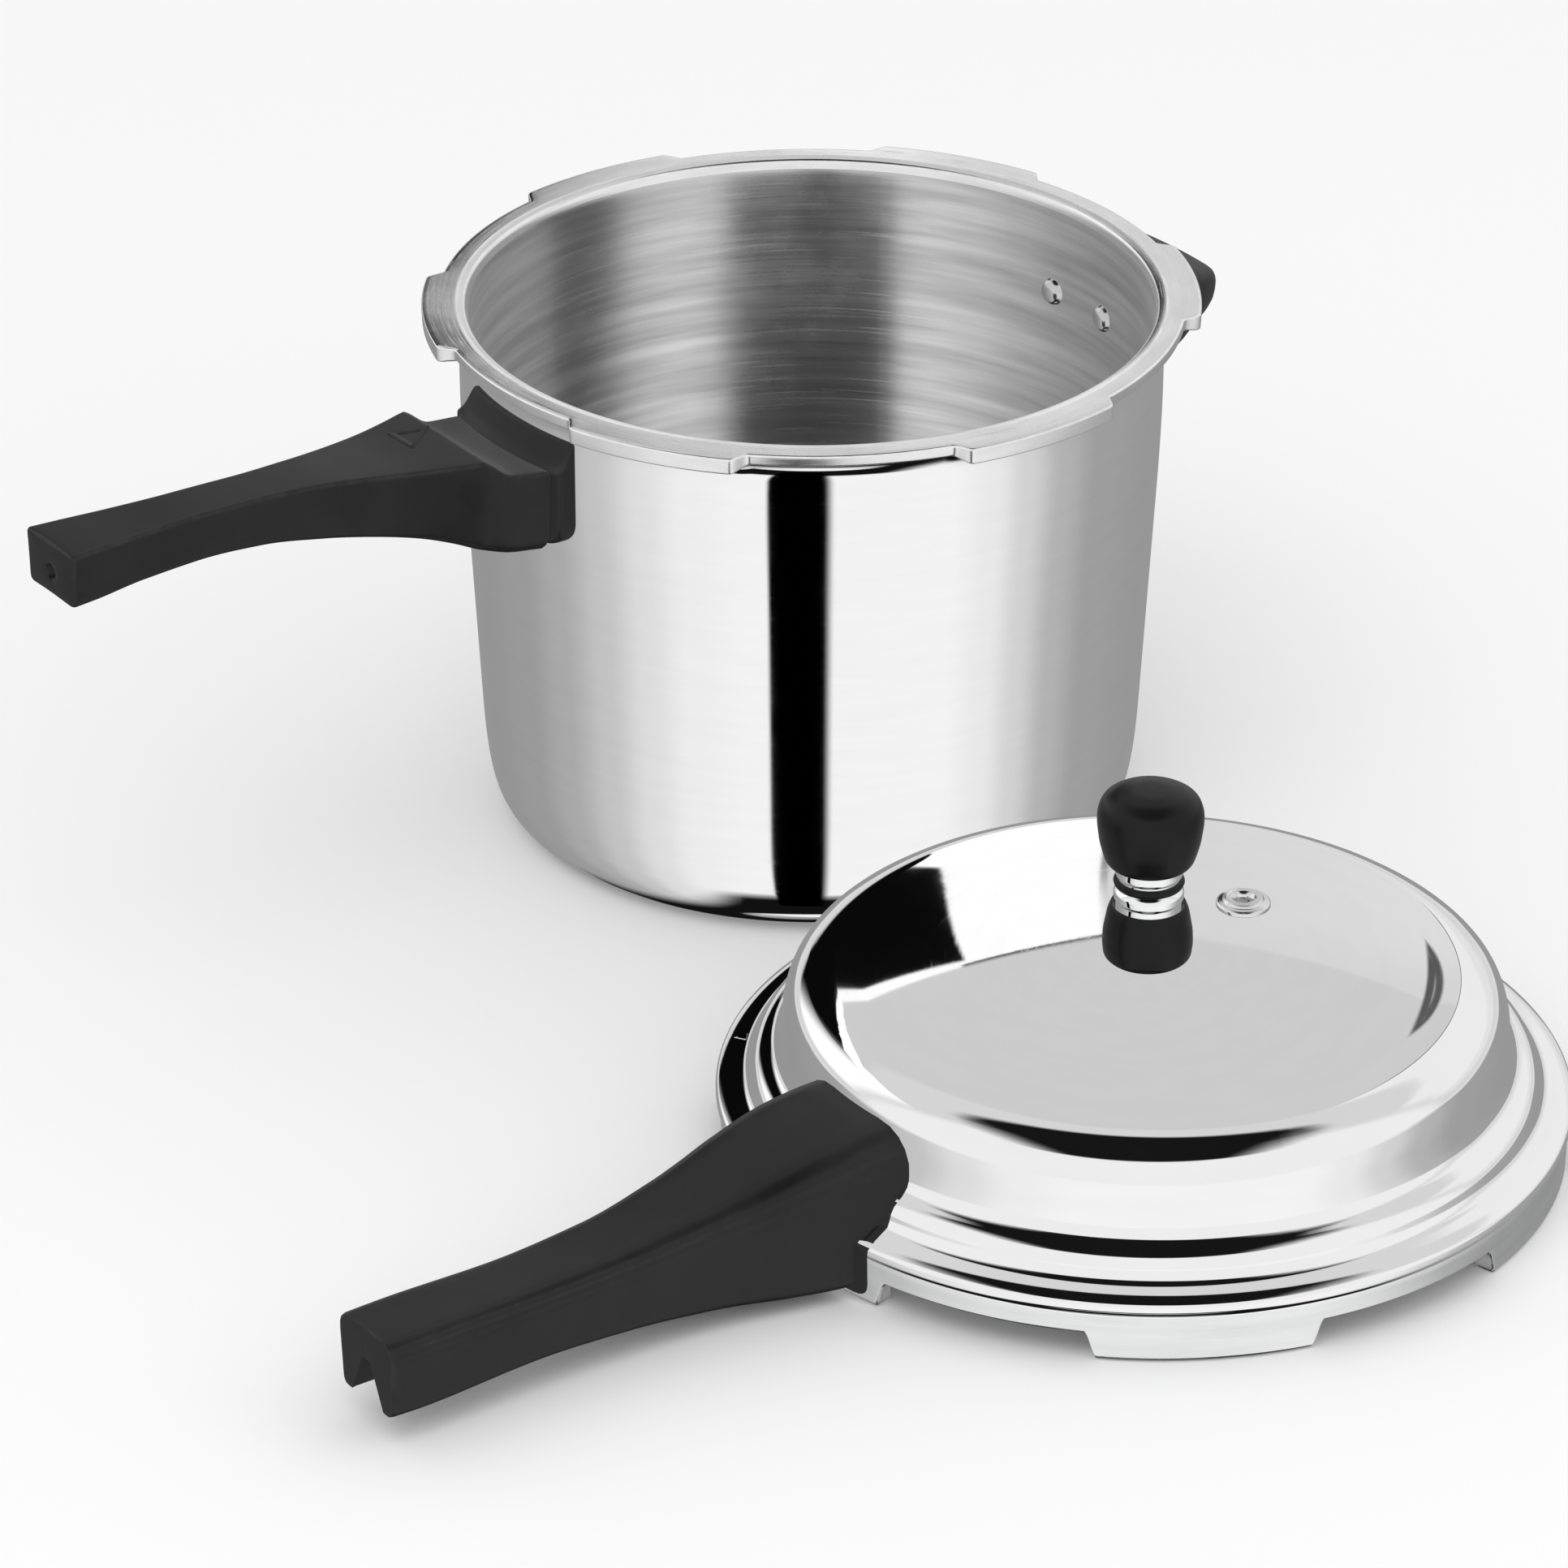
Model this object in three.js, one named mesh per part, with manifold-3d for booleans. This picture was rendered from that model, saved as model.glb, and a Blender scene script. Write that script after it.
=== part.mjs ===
// Stovetop pressure cooker with an outer lid: an open pot, and its lid lying beside it.
// Millimetres, +Z up. The origin is the centre of the pot's flat base and the long pot handle runs along -X.
import * as THREE from "three";
import { mergeVertices } from "three/addons/utils/BufferGeometryUtils.js";
import Module from "manifold-3d";

const wasm = await Module();
wasm.setup();

const DEG = Math.PI / 180;
const FIT = 0.35; // gap between two pieces that are fastened together
const ROUND = 60; // sides of the large turned shapes

// Pot
const POT_R = 106; // outside radius of the wall under the rim
const POT_H = 166; // base to rim
const WALL = 3;
const BASE_R = 86;
const BASE_T = 4.5;
const FOOT_IN = 5.6; // how much narrower the wall is at the foot
const FOOT_Z = 22;
const SHOULDER_Z = POT_H - 38; // the wall is straight above this height
const RIM_R = POT_R + 6.5;
const RIM_T = 3.6;
const LUG_COUNT = 6;
const LUG_REACH = 4.5;
const LUG_TIP_R = RIM_R + LUG_REACH;
const LUG_T = 5.2;
const LUG_DEG = 25; // width of a pot lug at its tip
const LUG_SLOPE_DEG = 2.4; // how much wider it is at its root, each side
const LUG_PITCH = 360 / LUG_COUNT;

// Lid
const LID_T = 2;
const SKIRT_CLEAR = 1.1; // lid skirt to pot lug
const SKIRT_IN = LUG_TIP_R + SKIRT_CLEAR;
const SKIRT_R = SKIRT_IN + LID_T;
const SKIRT_Z = 8; // lower edge of the skirt between the lid lugs
const FACET_DEG = 360 / ROUND;
const LID_LUG_DEG = 5 * FACET_DEG;
const LID_LUG_T = 4.5;
const LID_LUG_IN = RIM_R + 0.9;
const FLANGE_Z = 16.6; // underside of the flange
const STEP_R = SKIRT_R - 8.2; // small step at the foot of the dome
const DOME_R = SKIRT_R - 17.4; // upright wall of the dome
const DOME_Z = 54;
const CROWN = 3.6; // rise of the crown above the dome's shoulder
const LID_TOP = DOME_Z + CROWN;
const DOME_TALL = (DOME_Z - FLANGE_Z) / 37.4; // the dome's height against the height its outline is drawn for
const GASKET_T = 3.6;
const GASKET_Z = FLANGE_Z - FIT - GASKET_T;
const SEAT_GAP = 0.4; // gasket to rim with the lid on
const LID_RIDE = GASKET_Z - SEAT_GAP; // height of the pot's rim inside the closed lid
const LID_X = -48;
const LID_Y = -(POT_R + SKIRT_R + 0.9); // the lid lies close beside the pot

// Long handles
const HANDLE_REACH = 159; // length of the pot handle from the wall
const HANDLE_END = POT_R + HANDLE_REACH;
const COLLAR_T = 7.4;
const COLLAR_R = POT_R + COLLAR_T; // outer face of the collar
const COLLAR_W = 50;
const COLLAR_TOP = POT_H - 17;
const COLLAR_LOW = POT_H - 44.6;
const ARM_GAP = 0.6; // groove between the collar and the arm
const LID_HANDLE_REACH = 159.3; // length of the lid handle from the dome
const LID_HANDLE_END = DOME_R + LID_HANDLE_REACH;
const PLATE_T = 2; // bracket sheet
const PLATE_MID = POT_H - 32; // height of the bracket tongues on the pot
const PLATE_TALL = 18;
const PLATE_HALF_DEG = 12;
const TONGUE_W = 13;
const TONGUE_T = 3;
const RIVET_SIDE = 16.6; // rivets either side of a handle's middle
const RIVET_R = 2.5;
const RIVET_HEAD_R = 4.2;
const HEAD_ROOM = 2.8; // depth left for the outer rivet heads
const SCREW_R = 2.2;
const SCREW_HEAD_R = 4.4;
const SWING_TURN = Math.atan2(LID_X, -LID_Y); // the pot rivets lie square to the way the lid travels

// Helper handle
const HELPER_REACH = 41;
const HELPER_W = 62;
const HELPER_TOP = POT_H - 17;
const HELPER_LOW = POT_H - 43;

// Vent, weight and safety plug
const VENT_R = 3.6;
const VENT_BORE = 1.6;
const VENT_UP = 8; // above the lid
const NUT_AF = 12;
const NUT_T = 4;
const WEIGHT_H = 53;
const KNOB_R = 15;
const NECK_R = 9.2;
const CUP_R = 12.8;
const PIN_R = 2.4;
const SAFETY_AT = 42; // from the lid's centre
const SAFETY_DEG = 11;
const SAFETY_R = 7.8;
const SAFETY_STEM = 4.6;

function material(color, metalness, roughness) {
  return new THREE.MeshStandardMaterial({ color, metalness, roughness });
}

// A closed solid from a three.js geometry.
function solid(geometry) {
  const bare = new THREE.BufferGeometry();
  const plain = geometry.index ? geometry.toNonIndexed() : geometry;
  bare.setAttribute("position", plain.getAttribute("position"));
  const merged = mergeVertices(bare, 1e-4);
  return new wasm.Manifold(
    new wasm.Mesh({
      numProp: 3,
      vertProperties: merged.attributes.position.array,
      triVerts: new Uint32Array(merged.index.array),
    }),
  );
}

// A named mesh from a solid.
function piece(name, body, look) {
  const made = body.getMesh();
  const geometry = new THREE.BufferGeometry();
  geometry.setAttribute("position", new THREE.BufferAttribute(new Float32Array(made.vertProperties), 3));
  geometry.setIndex(new THREE.BufferAttribute(new Uint32Array(made.triVerts), 1));
  geometry.computeVertexNormals();
  const mesh = new THREE.Mesh(geometry, look);
  mesh.name = name;
  return mesh;
}

// A turned solid about +Z from [radius, height] points that run up the outside and back down the middle.
function turned(points, sides = ROUND) {
  const geometry = new THREE.LatheGeometry(
    points.map(([r, z]) => new THREE.Vector2(r, z)),
    sides,
  );
  geometry.rotateX(Math.PI / 2);
  return solid(geometry);
}

// A box between two corners.
function box(x0, x1, y0, y1, z0, z1) {
  const geometry = new THREE.BoxGeometry(x1 - x0, y1 - y0, z1 - z0);
  geometry.translate((x0 + x1) / 2, (y0 + y1) / 2, (z0 + z1) / 2);
  return solid(geometry);
}

// A flat outline raised from z0 to z1.
function raised(points, z0, z1) {
  const shape = new THREE.Shape(points.map(([x, y]) => new THREE.Vector2(x, y)));
  const geometry = new THREE.ExtrudeGeometry(shape, { depth: z1 - z0, bevelEnabled: false });
  geometry.translate(0, 0, z0);
  return solid(geometry);
}

// A block of a ring about +Z, with its own width at the root and at the tip.
function sector(r0, r1, z0, z1, middle, wide0, wide1, steps = 6) {
  const points = [];
  for (let i = 0; i <= steps; i += 1) {
    const a = (middle - wide1 / 2 + (wide1 * i) / steps) * DEG;
    points.push([r1 * Math.cos(a), r1 * Math.sin(a)]);
  }
  for (let i = steps; i >= 0; i -= 1) {
    const a = (middle - wide0 / 2 + (wide0 * i) / steps) * DEG;
    points.push([r0 * Math.cos(a), r0 * Math.sin(a)]);
  }
  return raised(points, z0, z1);
}

// A rod along +Z.
function rod(r, z0, z1, sides = 14) {
  return turned([[0, z0], [r, z0], [r, z1], [0, z1]], sides);
}

// A nut or a hexagonal head, across its flats.
function hexagon(flats, z0, z1) {
  const r = flats / Math.sqrt(3);
  const points = [];
  for (let i = 0; i < 6; i += 1) {
    points.push([r * Math.cos(i * 60 * DEG), r * Math.sin(i * 60 * DEG)]);
  }
  return raised(points, z0, z1);
}

// A body skinned over rounded cross-sections [x, low, high, width, squareness] in order of rising x.
function lofted(sections, around = 20) {
  const position = [];
  const index = [];
  sections.forEach(([x, low, high, width, square]) => {
    for (let i = 0; i < around; i += 1) {
      const a = (2 * Math.PI * (i + 0.5)) / around;
      const c = Math.cos(a);
      const s = Math.sin(a);
      const y = (Math.sign(c) * Math.abs(c) ** (2 / square) * width) / 2;
      const z = (low + high) / 2 + (Math.sign(s) * Math.abs(s) ** (2 / square) * (high - low)) / 2;
      position.push(x, y, z);
    }
  });
  const last = sections.length - 1;
  for (let k = 0; k < last; k += 1) {
    for (let i = 0; i < around; i += 1) {
      const j = (i + 1) % around;
      const a = k * around + i;
      const b = k * around + j;
      const c = (k + 1) * around + i;
      const d = (k + 1) * around + j;
      index.push(a, b, c, b, d, c);
    }
  }
  for (let i = 1; i < around - 1; i += 1) {
    index.push(0, i + 1, i);
    index.push(last * around, last * around + i, last * around + i + 1);
  }
  const geometry = new THREE.BufferGeometry();
  geometry.setAttribute("position", new THREE.BufferAttribute(new Float32Array(position), 3));
  geometry.setIndex(index);
  return solid(geometry);
}

// Outside of the pot's wall at a height.
function potWall(z) {
  if (z >= SHOULDER_Z) return POT_R;
  return POT_R - (FOOT_IN * (SHOULDER_Z - z)) / (SHOULDER_Z - FOOT_Z);
}

// Pot: a drawn shell with a thick base, a turned-out rim and lugs round it.
function potBody() {
  const foot = potWall(FOOT_Z);
  const outside = [
    [0, 0],
    [BASE_R, 0],
    [BASE_R + 7, 1.6],
    [foot - 3, 7.5],
    [foot - 0.8, 14],
    [foot, FOOT_Z],
    [POT_R, SHOULDER_Z],
    [POT_R, POT_H - 9],
    [POT_R + 2.6, POT_H - RIM_T - 1.2],
    [RIM_R - 0.5, POT_H - RIM_T],
    [RIM_R, POT_H - RIM_T + 0.6],
    [RIM_R, POT_H - 0.7],
    [RIM_R - 0.7, POT_H],
  ];
  const inside = [
    [POT_R - 0.4, POT_H],
    [POT_R - WALL + 0.4, POT_H - 1.4],
    [POT_R - WALL, POT_H - 4],
    [POT_R - WALL, SHOULDER_Z],
    [foot - WALL, FOOT_Z],
    [foot - WALL - 2.5, 12],
    [BASE_R, BASE_T + 1],
    [BASE_R - 6, BASE_T],
    [0, BASE_T],
  ];
  let body = turned([...outside, ...inside]);
  for (let i = 0; i < LUG_COUNT; i += 1) {
    const middle = 180 + LUG_PITCH * (i + 0.5);
    const root = LUG_DEG + 2 * LUG_SLOPE_DEG;
    body = body.add(sector(POT_R + 1, LUG_TIP_R, POT_H - LUG_T, POT_H, middle, root, LUG_DEG));
  }
  rivetSpots().forEach((spot) => {
    body = body.subtract(placed(rod(RIVET_R + FIT, -9, 9), spot));
  });
  return body;
}

// Where the four pot rivets go: { x, y, z, turn } with the rivet's axis lying level at that turn.
function rivetSpots() {
  const spots = [];
  [-1, 1].forEach((side) => {
    const along = Math.sqrt(POT_R ** 2 - RIVET_SIDE ** 2);
    spots.push({ x: -along, y: side * RIVET_SIDE, z: PLATE_MID, turn: Math.PI - side * Math.abs(SWING_TURN) });
    const near = Math.sqrt(POT_R ** 2 - (RIVET_SIDE - 3.6) ** 2);
    spots.push({ x: near, y: side * (RIVET_SIDE - 3.6), z: PLATE_MID + 2, turn: side * 7 * DEG });
  });
  return spots;
}

// A solid modelled along +Z, laid level along a turn and moved to its spot.
function placed(body, spot) {
  return body.rotate([0, 90, 0]).rotate([0, 0, spot.turn / DEG]).translate([spot.x, spot.y, spot.z]);
}

// A rivet along +Z: a domed head on the inside, a flat one outside the bracket.
function rivet(grip) {
  return turned(
    [
      [0, -grip / 2 - 2.6],
      [RIVET_HEAD_R * 0.5, -grip / 2 - 2.3],
      [RIVET_HEAD_R * 0.85, -grip / 2 - 1.3],
      [RIVET_HEAD_R, -grip / 2],
      [RIVET_R, -grip / 2],
      [RIVET_R, grip / 2],
      [RIVET_HEAD_R - 0.6, grip / 2],
      [RIVET_HEAD_R - 0.9, grip / 2 + 1.2],
      [0, grip / 2 + 1.4],
    ],
    16,
  );
}

// Steel plate bent to the wall, with a tongue that runs into the handle.
function bracket(wall, middle, z, tall, halfDeg, reach) {
  const plate = sector(wall, wall + PLATE_T, z - tall / 2, z + tall / 2, middle, 2 * halfDeg, 2 * halfDeg, 8);
  const end = middle === 180 ? [-reach, -wall - 0.6] : [wall + 0.6, reach];
  const tongue = box(end[0], end[1], -TONGUE_W / 2, TONGUE_W / 2, z - TONGUE_T / 2, z + TONGUE_T / 2);
  return plate.add(tongue);
}

// A round-headed screw whose head faces down, from its head's lower face up to the tongue.
function screw(x, low, high) {
  const shape = turned(
    [
      [0, low],
      [SCREW_HEAD_R - 0.8, low],
      [SCREW_HEAD_R, low + 0.9],
      [SCREW_HEAD_R, low + 2.4],
      [SCREW_R, low + 2.4],
      [SCREW_R, high],
      [0, high],
    ],
    14,
  );
  const slot = box(-SCREW_HEAD_R, SCREW_HEAD_R, -0.6, 0.6, low - 1, low + 0.8);
  return shape.subtract(slot).translate([x, 0, 0]);
}

// The hole a screw needs: a counterbore for the head and a clear hole for the shank.
function screwHole(x, low, head, high) {
  const shank = rod(SCREW_R + FIT, head, high);
  return rod(SCREW_HEAD_R + FIT, low, head + 0.01).add(shank).translate([x, 0, 0]);
}

// Space for a bracket and the outer rivet heads.
function bracketRoom(wall, middle, z, tall, halfDeg, reach, heads) {
  const plate = sector(
    wall - 3,
    wall + PLATE_T + heads,
    z - tall / 2 - FIT,
    z + tall / 2 + FIT,
    middle,
    2 * halfDeg + 0.8,
    2 * halfDeg + 0.8,
    8,
  );
  const half = TONGUE_W / 2 + FIT;
  const thick = TONGUE_T / 2 + FIT;
  const end = middle === 180 ? [-reach - FIT, -wall] : [wall, reach + FIT];
  return plate.add(box(end[0], end[1], -half, half, z - thick, z + thick));
}

// A ring-shaped cutter that leaves only what stands outside a radius.
function drum(r, z0, z1) {
  return rod(r, z0, z1, ROUND);
}

// Collar of the pot handle: a curved strip against the wall that flares up at the top and hides the bracket.
function potCollar() {
  const body = lofted([
    [-COLLAR_R - 1, COLLAR_LOW + 1, COLLAR_TOP - 5.4, COLLAR_W, 9],
    [-POT_R - 5, COLLAR_LOW, COLLAR_TOP - 3.4, COLLAR_W, 9],
    [-POT_R - 2, COLLAR_LOW, COLLAR_TOP - 0.6, COLLAR_W, 9],
    [-POT_R + 8, COLLAR_LOW + 1, COLLAR_TOP, COLLAR_W, 9],
  ]);
  return body
    .intersect(drum(COLLAR_R, COLLAR_LOW - 5, COLLAR_TOP + 5))
    .subtract(drum(POT_R + FIT, COLLAR_LOW - 5, COLLAR_TOP + 5))
    .subtract(bracketRoom(POT_R + FIT, 180, PLATE_MID, PLATE_TALL, PLATE_HALF_DEG, COLLAR_R + 3, HEAD_ROOM));
}

// Pot handle: a waisted arm with a flat raised top that slopes down to a low shelf beside the collar.
function potHandle() {
  const body = lofted([
    [-HANDLE_END, POT_H - 21.8, POT_H - 8, 23, 6],
    [-HANDLE_END + 1.4, POT_H - 23.1, POT_H - 6.8, 25.6, 8],
    [-POT_R - 151, POT_H - 23, POT_H - 6.8, 24.2, 8],
    [-POT_R - 134, POT_H - 22.1, POT_H - 7, 21.2, 8],
    [-POT_R - 114, POT_H - 22, POT_H - 7.2, 18.8, 8],
    [-POT_R - 94, POT_H - 23.4, POT_H - 7.8, 18.6, 8],
    [-POT_R - 74, POT_H - 26.6, POT_H - 8.6, 21.6, 8],
    [-POT_R - 59, POT_H - 29.6, POT_H - 9.6, 26.6, 8],
    [-POT_R - 44, POT_H - 33.2, POT_H - 10.3, 34, 9],
    [-POT_R - 34, POT_H - 36.2, POT_H - 10.5, 39.8, 9],
    [-POT_R - 25.4, POT_H - 39.8, POT_H - 10.6, 44.6, 10],
    [-POT_R - 17.4, POT_H - 42.4, POT_H - 18.8, 47.2, 10],
    [-POT_R - 7, POT_H - 44.2, POT_H - 21.2, 49, 10],
    [-POT_R + 6, POT_H - 44.4, POT_H - 22.6, 49, 10],
  ]);
  const hang = rod(2.6, -7, 7).rotate([0, 90, 0]).translate([-HANDLE_END, 0, HANG_Z]);
  return body
    .subtract(drum(COLLAR_R + ARM_GAP, COLLAR_LOW - 5, COLLAR_TOP + 5))
    .subtract(bracketRoom(POT_R + FIT, 180, PLATE_MID, 1, 3, TONGUE_END, 0))
    .subtract(screwHole(SCREW_X, POT_H - 48, SCREW_SEAT, PLATE_MID + 7))
    .subtract(hang);
}

const HANG_Z = POT_H - 16;
const TONGUE_END = POT_R + 32;
const SCREW_X = -POT_R - 23;
const SCREW_SEAT = POT_H - 36.4;

function potBracket() {
  const hole = rod(SCREW_R + FIT, -9, 9).translate([SCREW_X, 0, PLATE_MID]);
  let body = bracket(POT_R + FIT, 180, PLATE_MID, PLATE_TALL, PLATE_HALF_DEG, TONGUE_END).subtract(hole);
  rivetSpots().forEach((spot) => {
    body = body.subtract(placed(rod(RIVET_R + FIT, -9, 9), spot));
  });
  return body;
}

// Helper handle: a short ear opposite the long handle, hollowed underneath for the fingers.
function helperHandle() {
  const root = POT_R + 0.6;
  const tip = POT_R + HELPER_REACH;
  const body = lofted([
    [root - 8, HELPER_LOW + 2, HELPER_TOP - 1, HELPER_W, 5],
    [root + 3, HELPER_LOW, HELPER_TOP, HELPER_W, 5],
    [root + 14, HELPER_LOW + 3, HELPER_TOP, HELPER_W - 3, 4],
    [root + 26, HELPER_LOW + 7, HELPER_TOP - 2, HELPER_W - 10, 3.4],
    [tip - 6, HELPER_LOW + 8, HELPER_TOP - 5, HELPER_W - 20, 3],
    [tip - 1.6, HELPER_LOW + 9.5, HELPER_TOP - 7.5, HELPER_W - 32, 2.6],
    [tip, HELPER_LOW + 11.5, HELPER_TOP - 10, HELPER_W - 40, 2.4],
  ]);
  return body
    .subtract(drum(POT_R + FIT, HELPER_LOW - 5, HELPER_TOP + 5))
    .subtract(bracketRoom(POT_R + FIT, 0, PLATE_MID + 2, PLATE_TALL, 10.5, HELPER_TONGUE, HEAD_ROOM))
    .subtract(screwHole(HELPER_SCREW_X, HELPER_LOW - 4, HELPER_LOW + 7.5, PLATE_MID + 9));
}

const HELPER_TONGUE = POT_R + 26;
const HELPER_SCREW_X = POT_R + 19;

function helperBracket() {
  const hole = rod(SCREW_R + FIT, -9, 9).translate([HELPER_SCREW_X, 0, PLATE_MID + 2]);
  let body = bracket(POT_R + FIT, 0, PLATE_MID + 2, PLATE_TALL, 10.5, HELPER_TONGUE).subtract(hole);
  rivetSpots().forEach((spot) => {
    body = body.subtract(placed(rod(RIVET_R + FIT, -9, 9), spot));
  });
  return body;
}

// Outer face of the lid from the skirt's lower edge up to the middle.
function lidOutside(grow = 0) {
  return [
    [SKIRT_R + grow, SKIRT_Z - grow],
    [SKIRT_R + grow, FLANGE_Z - 1],
    [SKIRT_R + 0.7 + grow, FLANGE_Z],
    [SKIRT_R + 0.5 + grow, FLANGE_Z + 1.6 + grow],
    [SKIRT_R - 1.4 + grow, FLANGE_Z + 2.9 + grow],
    [STEP_R + 1.6 + grow, FLANGE_Z + 4 + grow],
    [STEP_R + grow, FLANGE_Z + 5.6 + grow],
    [STEP_R - 0.6 + grow, FLANGE_Z + 8.6 + grow],
    [STEP_R - 2.6 + grow, FLANGE_Z + 10.8 + grow],
    [DOME_R + 2 + grow, FLANGE_Z + 12.4 * DOME_TALL + grow],
    [DOME_R + 0.5 + grow, FLANGE_Z + 15 * DOME_TALL + grow],
    [DOME_R + grow, FLANGE_Z + 19 * DOME_TALL + grow],
    [DOME_R - 0.4 + grow, DOME_Z - 10.5 * DOME_TALL + grow],
    [DOME_R - 2.6 + grow, DOME_Z - 5 * DOME_TALL + grow],
    [DOME_R - 7 + grow, DOME_Z - 1.4 * DOME_TALL + grow],
    [DOME_R - 13.5 + grow, DOME_Z + grow],
    [DOME_R * 0.6, DOME_Z + CROWN * 0.68 + grow],
    [DOME_R * 0.3, LID_TOP - 0.35 + grow],
    [0, LID_TOP + grow],
  ];
}

// Lid: a pressed dome with a stepped foot, an outer skirt and lugs that turn in under the pot's own.
function lidShell() {
  const inside = [
    [0, LID_TOP - LID_T],
    [DOME_R * 0.3, LID_TOP - LID_T - 0.35],
    [DOME_R * 0.6, DOME_Z - LID_T + CROWN * 0.68],
    [DOME_R - 13.8, DOME_Z - LID_T],
    [DOME_R - 8, DOME_Z - LID_T - 1.5],
    [DOME_R - 4.4, DOME_Z - 6.6 * DOME_TALL],
    [DOME_R - LID_T - 0.4, DOME_Z - 11 * DOME_TALL],
    [DOME_R - LID_T, FLANGE_Z + 18 * DOME_TALL],
    [DOME_R - LID_T + 0.6, FLANGE_Z + 13.4 * DOME_TALL],
    [DOME_R + 0.6, FLANGE_Z + 10.6],
    [STEP_R - 4, FLANGE_Z + 8.8],
    [STEP_R - 2.6, FLANGE_Z + 7.2],
    [STEP_R - 2.1, FLANGE_Z + 4.4],
    [STEP_R - 0.6, FLANGE_Z + 1.4],
    [STEP_R + 1.2, FLANGE_Z],
    [SKIRT_IN, FLANGE_Z],
    [SKIRT_IN, SKIRT_Z],
  ];
  const steps = Math.round(LID_LUG_DEG / FACET_DEG);
  let body = turned([...lidOutside(), ...inside, [SKIRT_R, SKIRT_Z]]).rotate([0, 0, FACET_DEG / 2]);
  for (let i = 0; i < LUG_COUNT; i += 1) {
    const middle = 180 + LUG_PITCH * i;
    const drop = sector(SKIRT_IN, SKIRT_R, 0, SKIRT_Z + 2, middle, LID_LUG_DEG, LID_LUG_DEG, steps);
    const turnIn = sector(LID_LUG_IN, SKIRT_R, 0, LID_LUG_T, middle, LID_LUG_DEG, LID_LUG_DEG, steps);
    body = body.add(drop).add(turnIn);
  }
  lidRivetSpots().forEach((spot) => {
    body = body.subtract(placed(rod(RIVET_R + FIT, -9, 9), spot));
  });
  const [sx, sy] = safetySpot();
  return body
    .subtract(rod(VENT_R + FIT, LID_TOP - 9, LID_TOP + 5))
    .subtract(rod(SAFETY_STEM + FIT, LID_TOP - 9, LID_TOP + 5).translate([sx, sy, 0]));
}

const LID_PLATE_MID = FLANGE_Z + 19.9 * DOME_TALL;
const LID_PLATE_TALL = 9;
const LID_PLATE_HALF_DEG = 11;
const LID_TONGUE_END = DOME_R + 43.3;
const LID_SCREW_X = -DOME_R - 33.3;
const LID_SCREW_SEAT = LID_PLATE_MID - 5.9;
const LID_RIVET_DEG = 7.5;

function lidRivetSpots() {
  return [-1, 1].map((side) => {
    const a = (180 - side * LID_RIVET_DEG) * DEG;
    return { x: DOME_R * Math.cos(a), y: DOME_R * Math.sin(a), z: LID_PLATE_MID, turn: a };
  });
}

function lidBracket() {
  const hole = rod(SCREW_R + FIT, -9, 9).translate([LID_SCREW_X, 0, LID_PLATE_MID]);
  let body = bracket(DOME_R + 1.4, 180, LID_PLATE_MID, LID_PLATE_TALL, LID_PLATE_HALF_DEG, LID_TONGUE_END).subtract(hole);
  lidRivetSpots().forEach((spot) => {
    body = body.subtract(placed(rod(RIVET_R + FIT, -9, 9), spot));
  });
  return body;
}

// Lid handle: a deep hood against the dome that narrows to an open, channel-shaped grip.
function lidHandle() {
  const body = lofted([
    [-LID_HANDLE_END, 10.4, 30, 25, 4],
    [-LID_HANDLE_END + 2, 9.2, 31.2, 27.4, 4.4],
    [-DOME_R - 142.3, 8.8, 31.4, 28, 4.6],
    [-DOME_R - 112.3, 9.6, 30.6, 27, 4.6],
    [-DOME_R - 82.3, 8.4, 32, 29, 4.6],
    [-DOME_R - 57.3, 6.2, 35.6, 34, 4.4],
    [-DOME_R - 35.3, 4, DOME_Z - 13.6, 42, 4],
    [-DOME_R - 15.3, 3, DOME_Z - 9.6, 49, 3.6],
    [-DOME_R - 3.3, 3, DOME_Z - 8.4, 50, 3.6],
    [-DOME_R + 2.7, 3, DOME_Z - 8.4, 48, 3.6],
  ]);
  const channel = lofted([
    [-LID_HANDLE_END - 4, 0, 22, 14, 5],
    [-DOME_R - 117.3, 0, 22.5, 14, 5],
    [-DOME_R - 77.3, 0, 23.5, 15, 5],
    [-DOME_R - 49.3, 0, 24.5, 18, 5],
  ]);
  const envelope = turned([[0, -5], [SKIRT_R + 0.5, -5], ...lidOutside(0.5)]);
  return body
    .subtract(envelope)
    .subtract(channel)
    .subtract(bracketRoom(DOME_R + 1.4, 180, LID_PLATE_MID, LID_PLATE_TALL, LID_PLATE_HALF_DEG, LID_TONGUE_END, HEAD_ROOM))
    .subtract(screwHole(LID_SCREW_X, -3, LID_SCREW_SEAT, LID_PLATE_MID + 2.6));
}

// Gasket: a flat ring against the flange with a rib in the hollow of the step.
function gasket() {
  const top = FLANGE_Z - FIT;
  return turned([
    [POT_R - 1.2, GASKET_Z + 0.6],
    [POT_R - 0.4, GASKET_Z],
    [SKIRT_IN - 1.6, GASKET_Z],
    [SKIRT_IN - 0.6, GASKET_Z + 0.8],
    [SKIRT_IN - 0.6, top],
    [STEP_R + 0.4, top],
    [STEP_R - 3, FLANGE_Z + 4.4],
    [STEP_R - 5, FLANGE_Z + 4.4],
    [POT_R - 1.2, top],
    [POT_R - 1.2, GASKET_Z + 0.6],
  ]);
}

function safetySpot() {
  return [SAFETY_AT * Math.cos(SAFETY_DEG * DEG), SAFETY_AT * Math.sin(SAFETY_DEG * DEG)];
}

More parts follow.
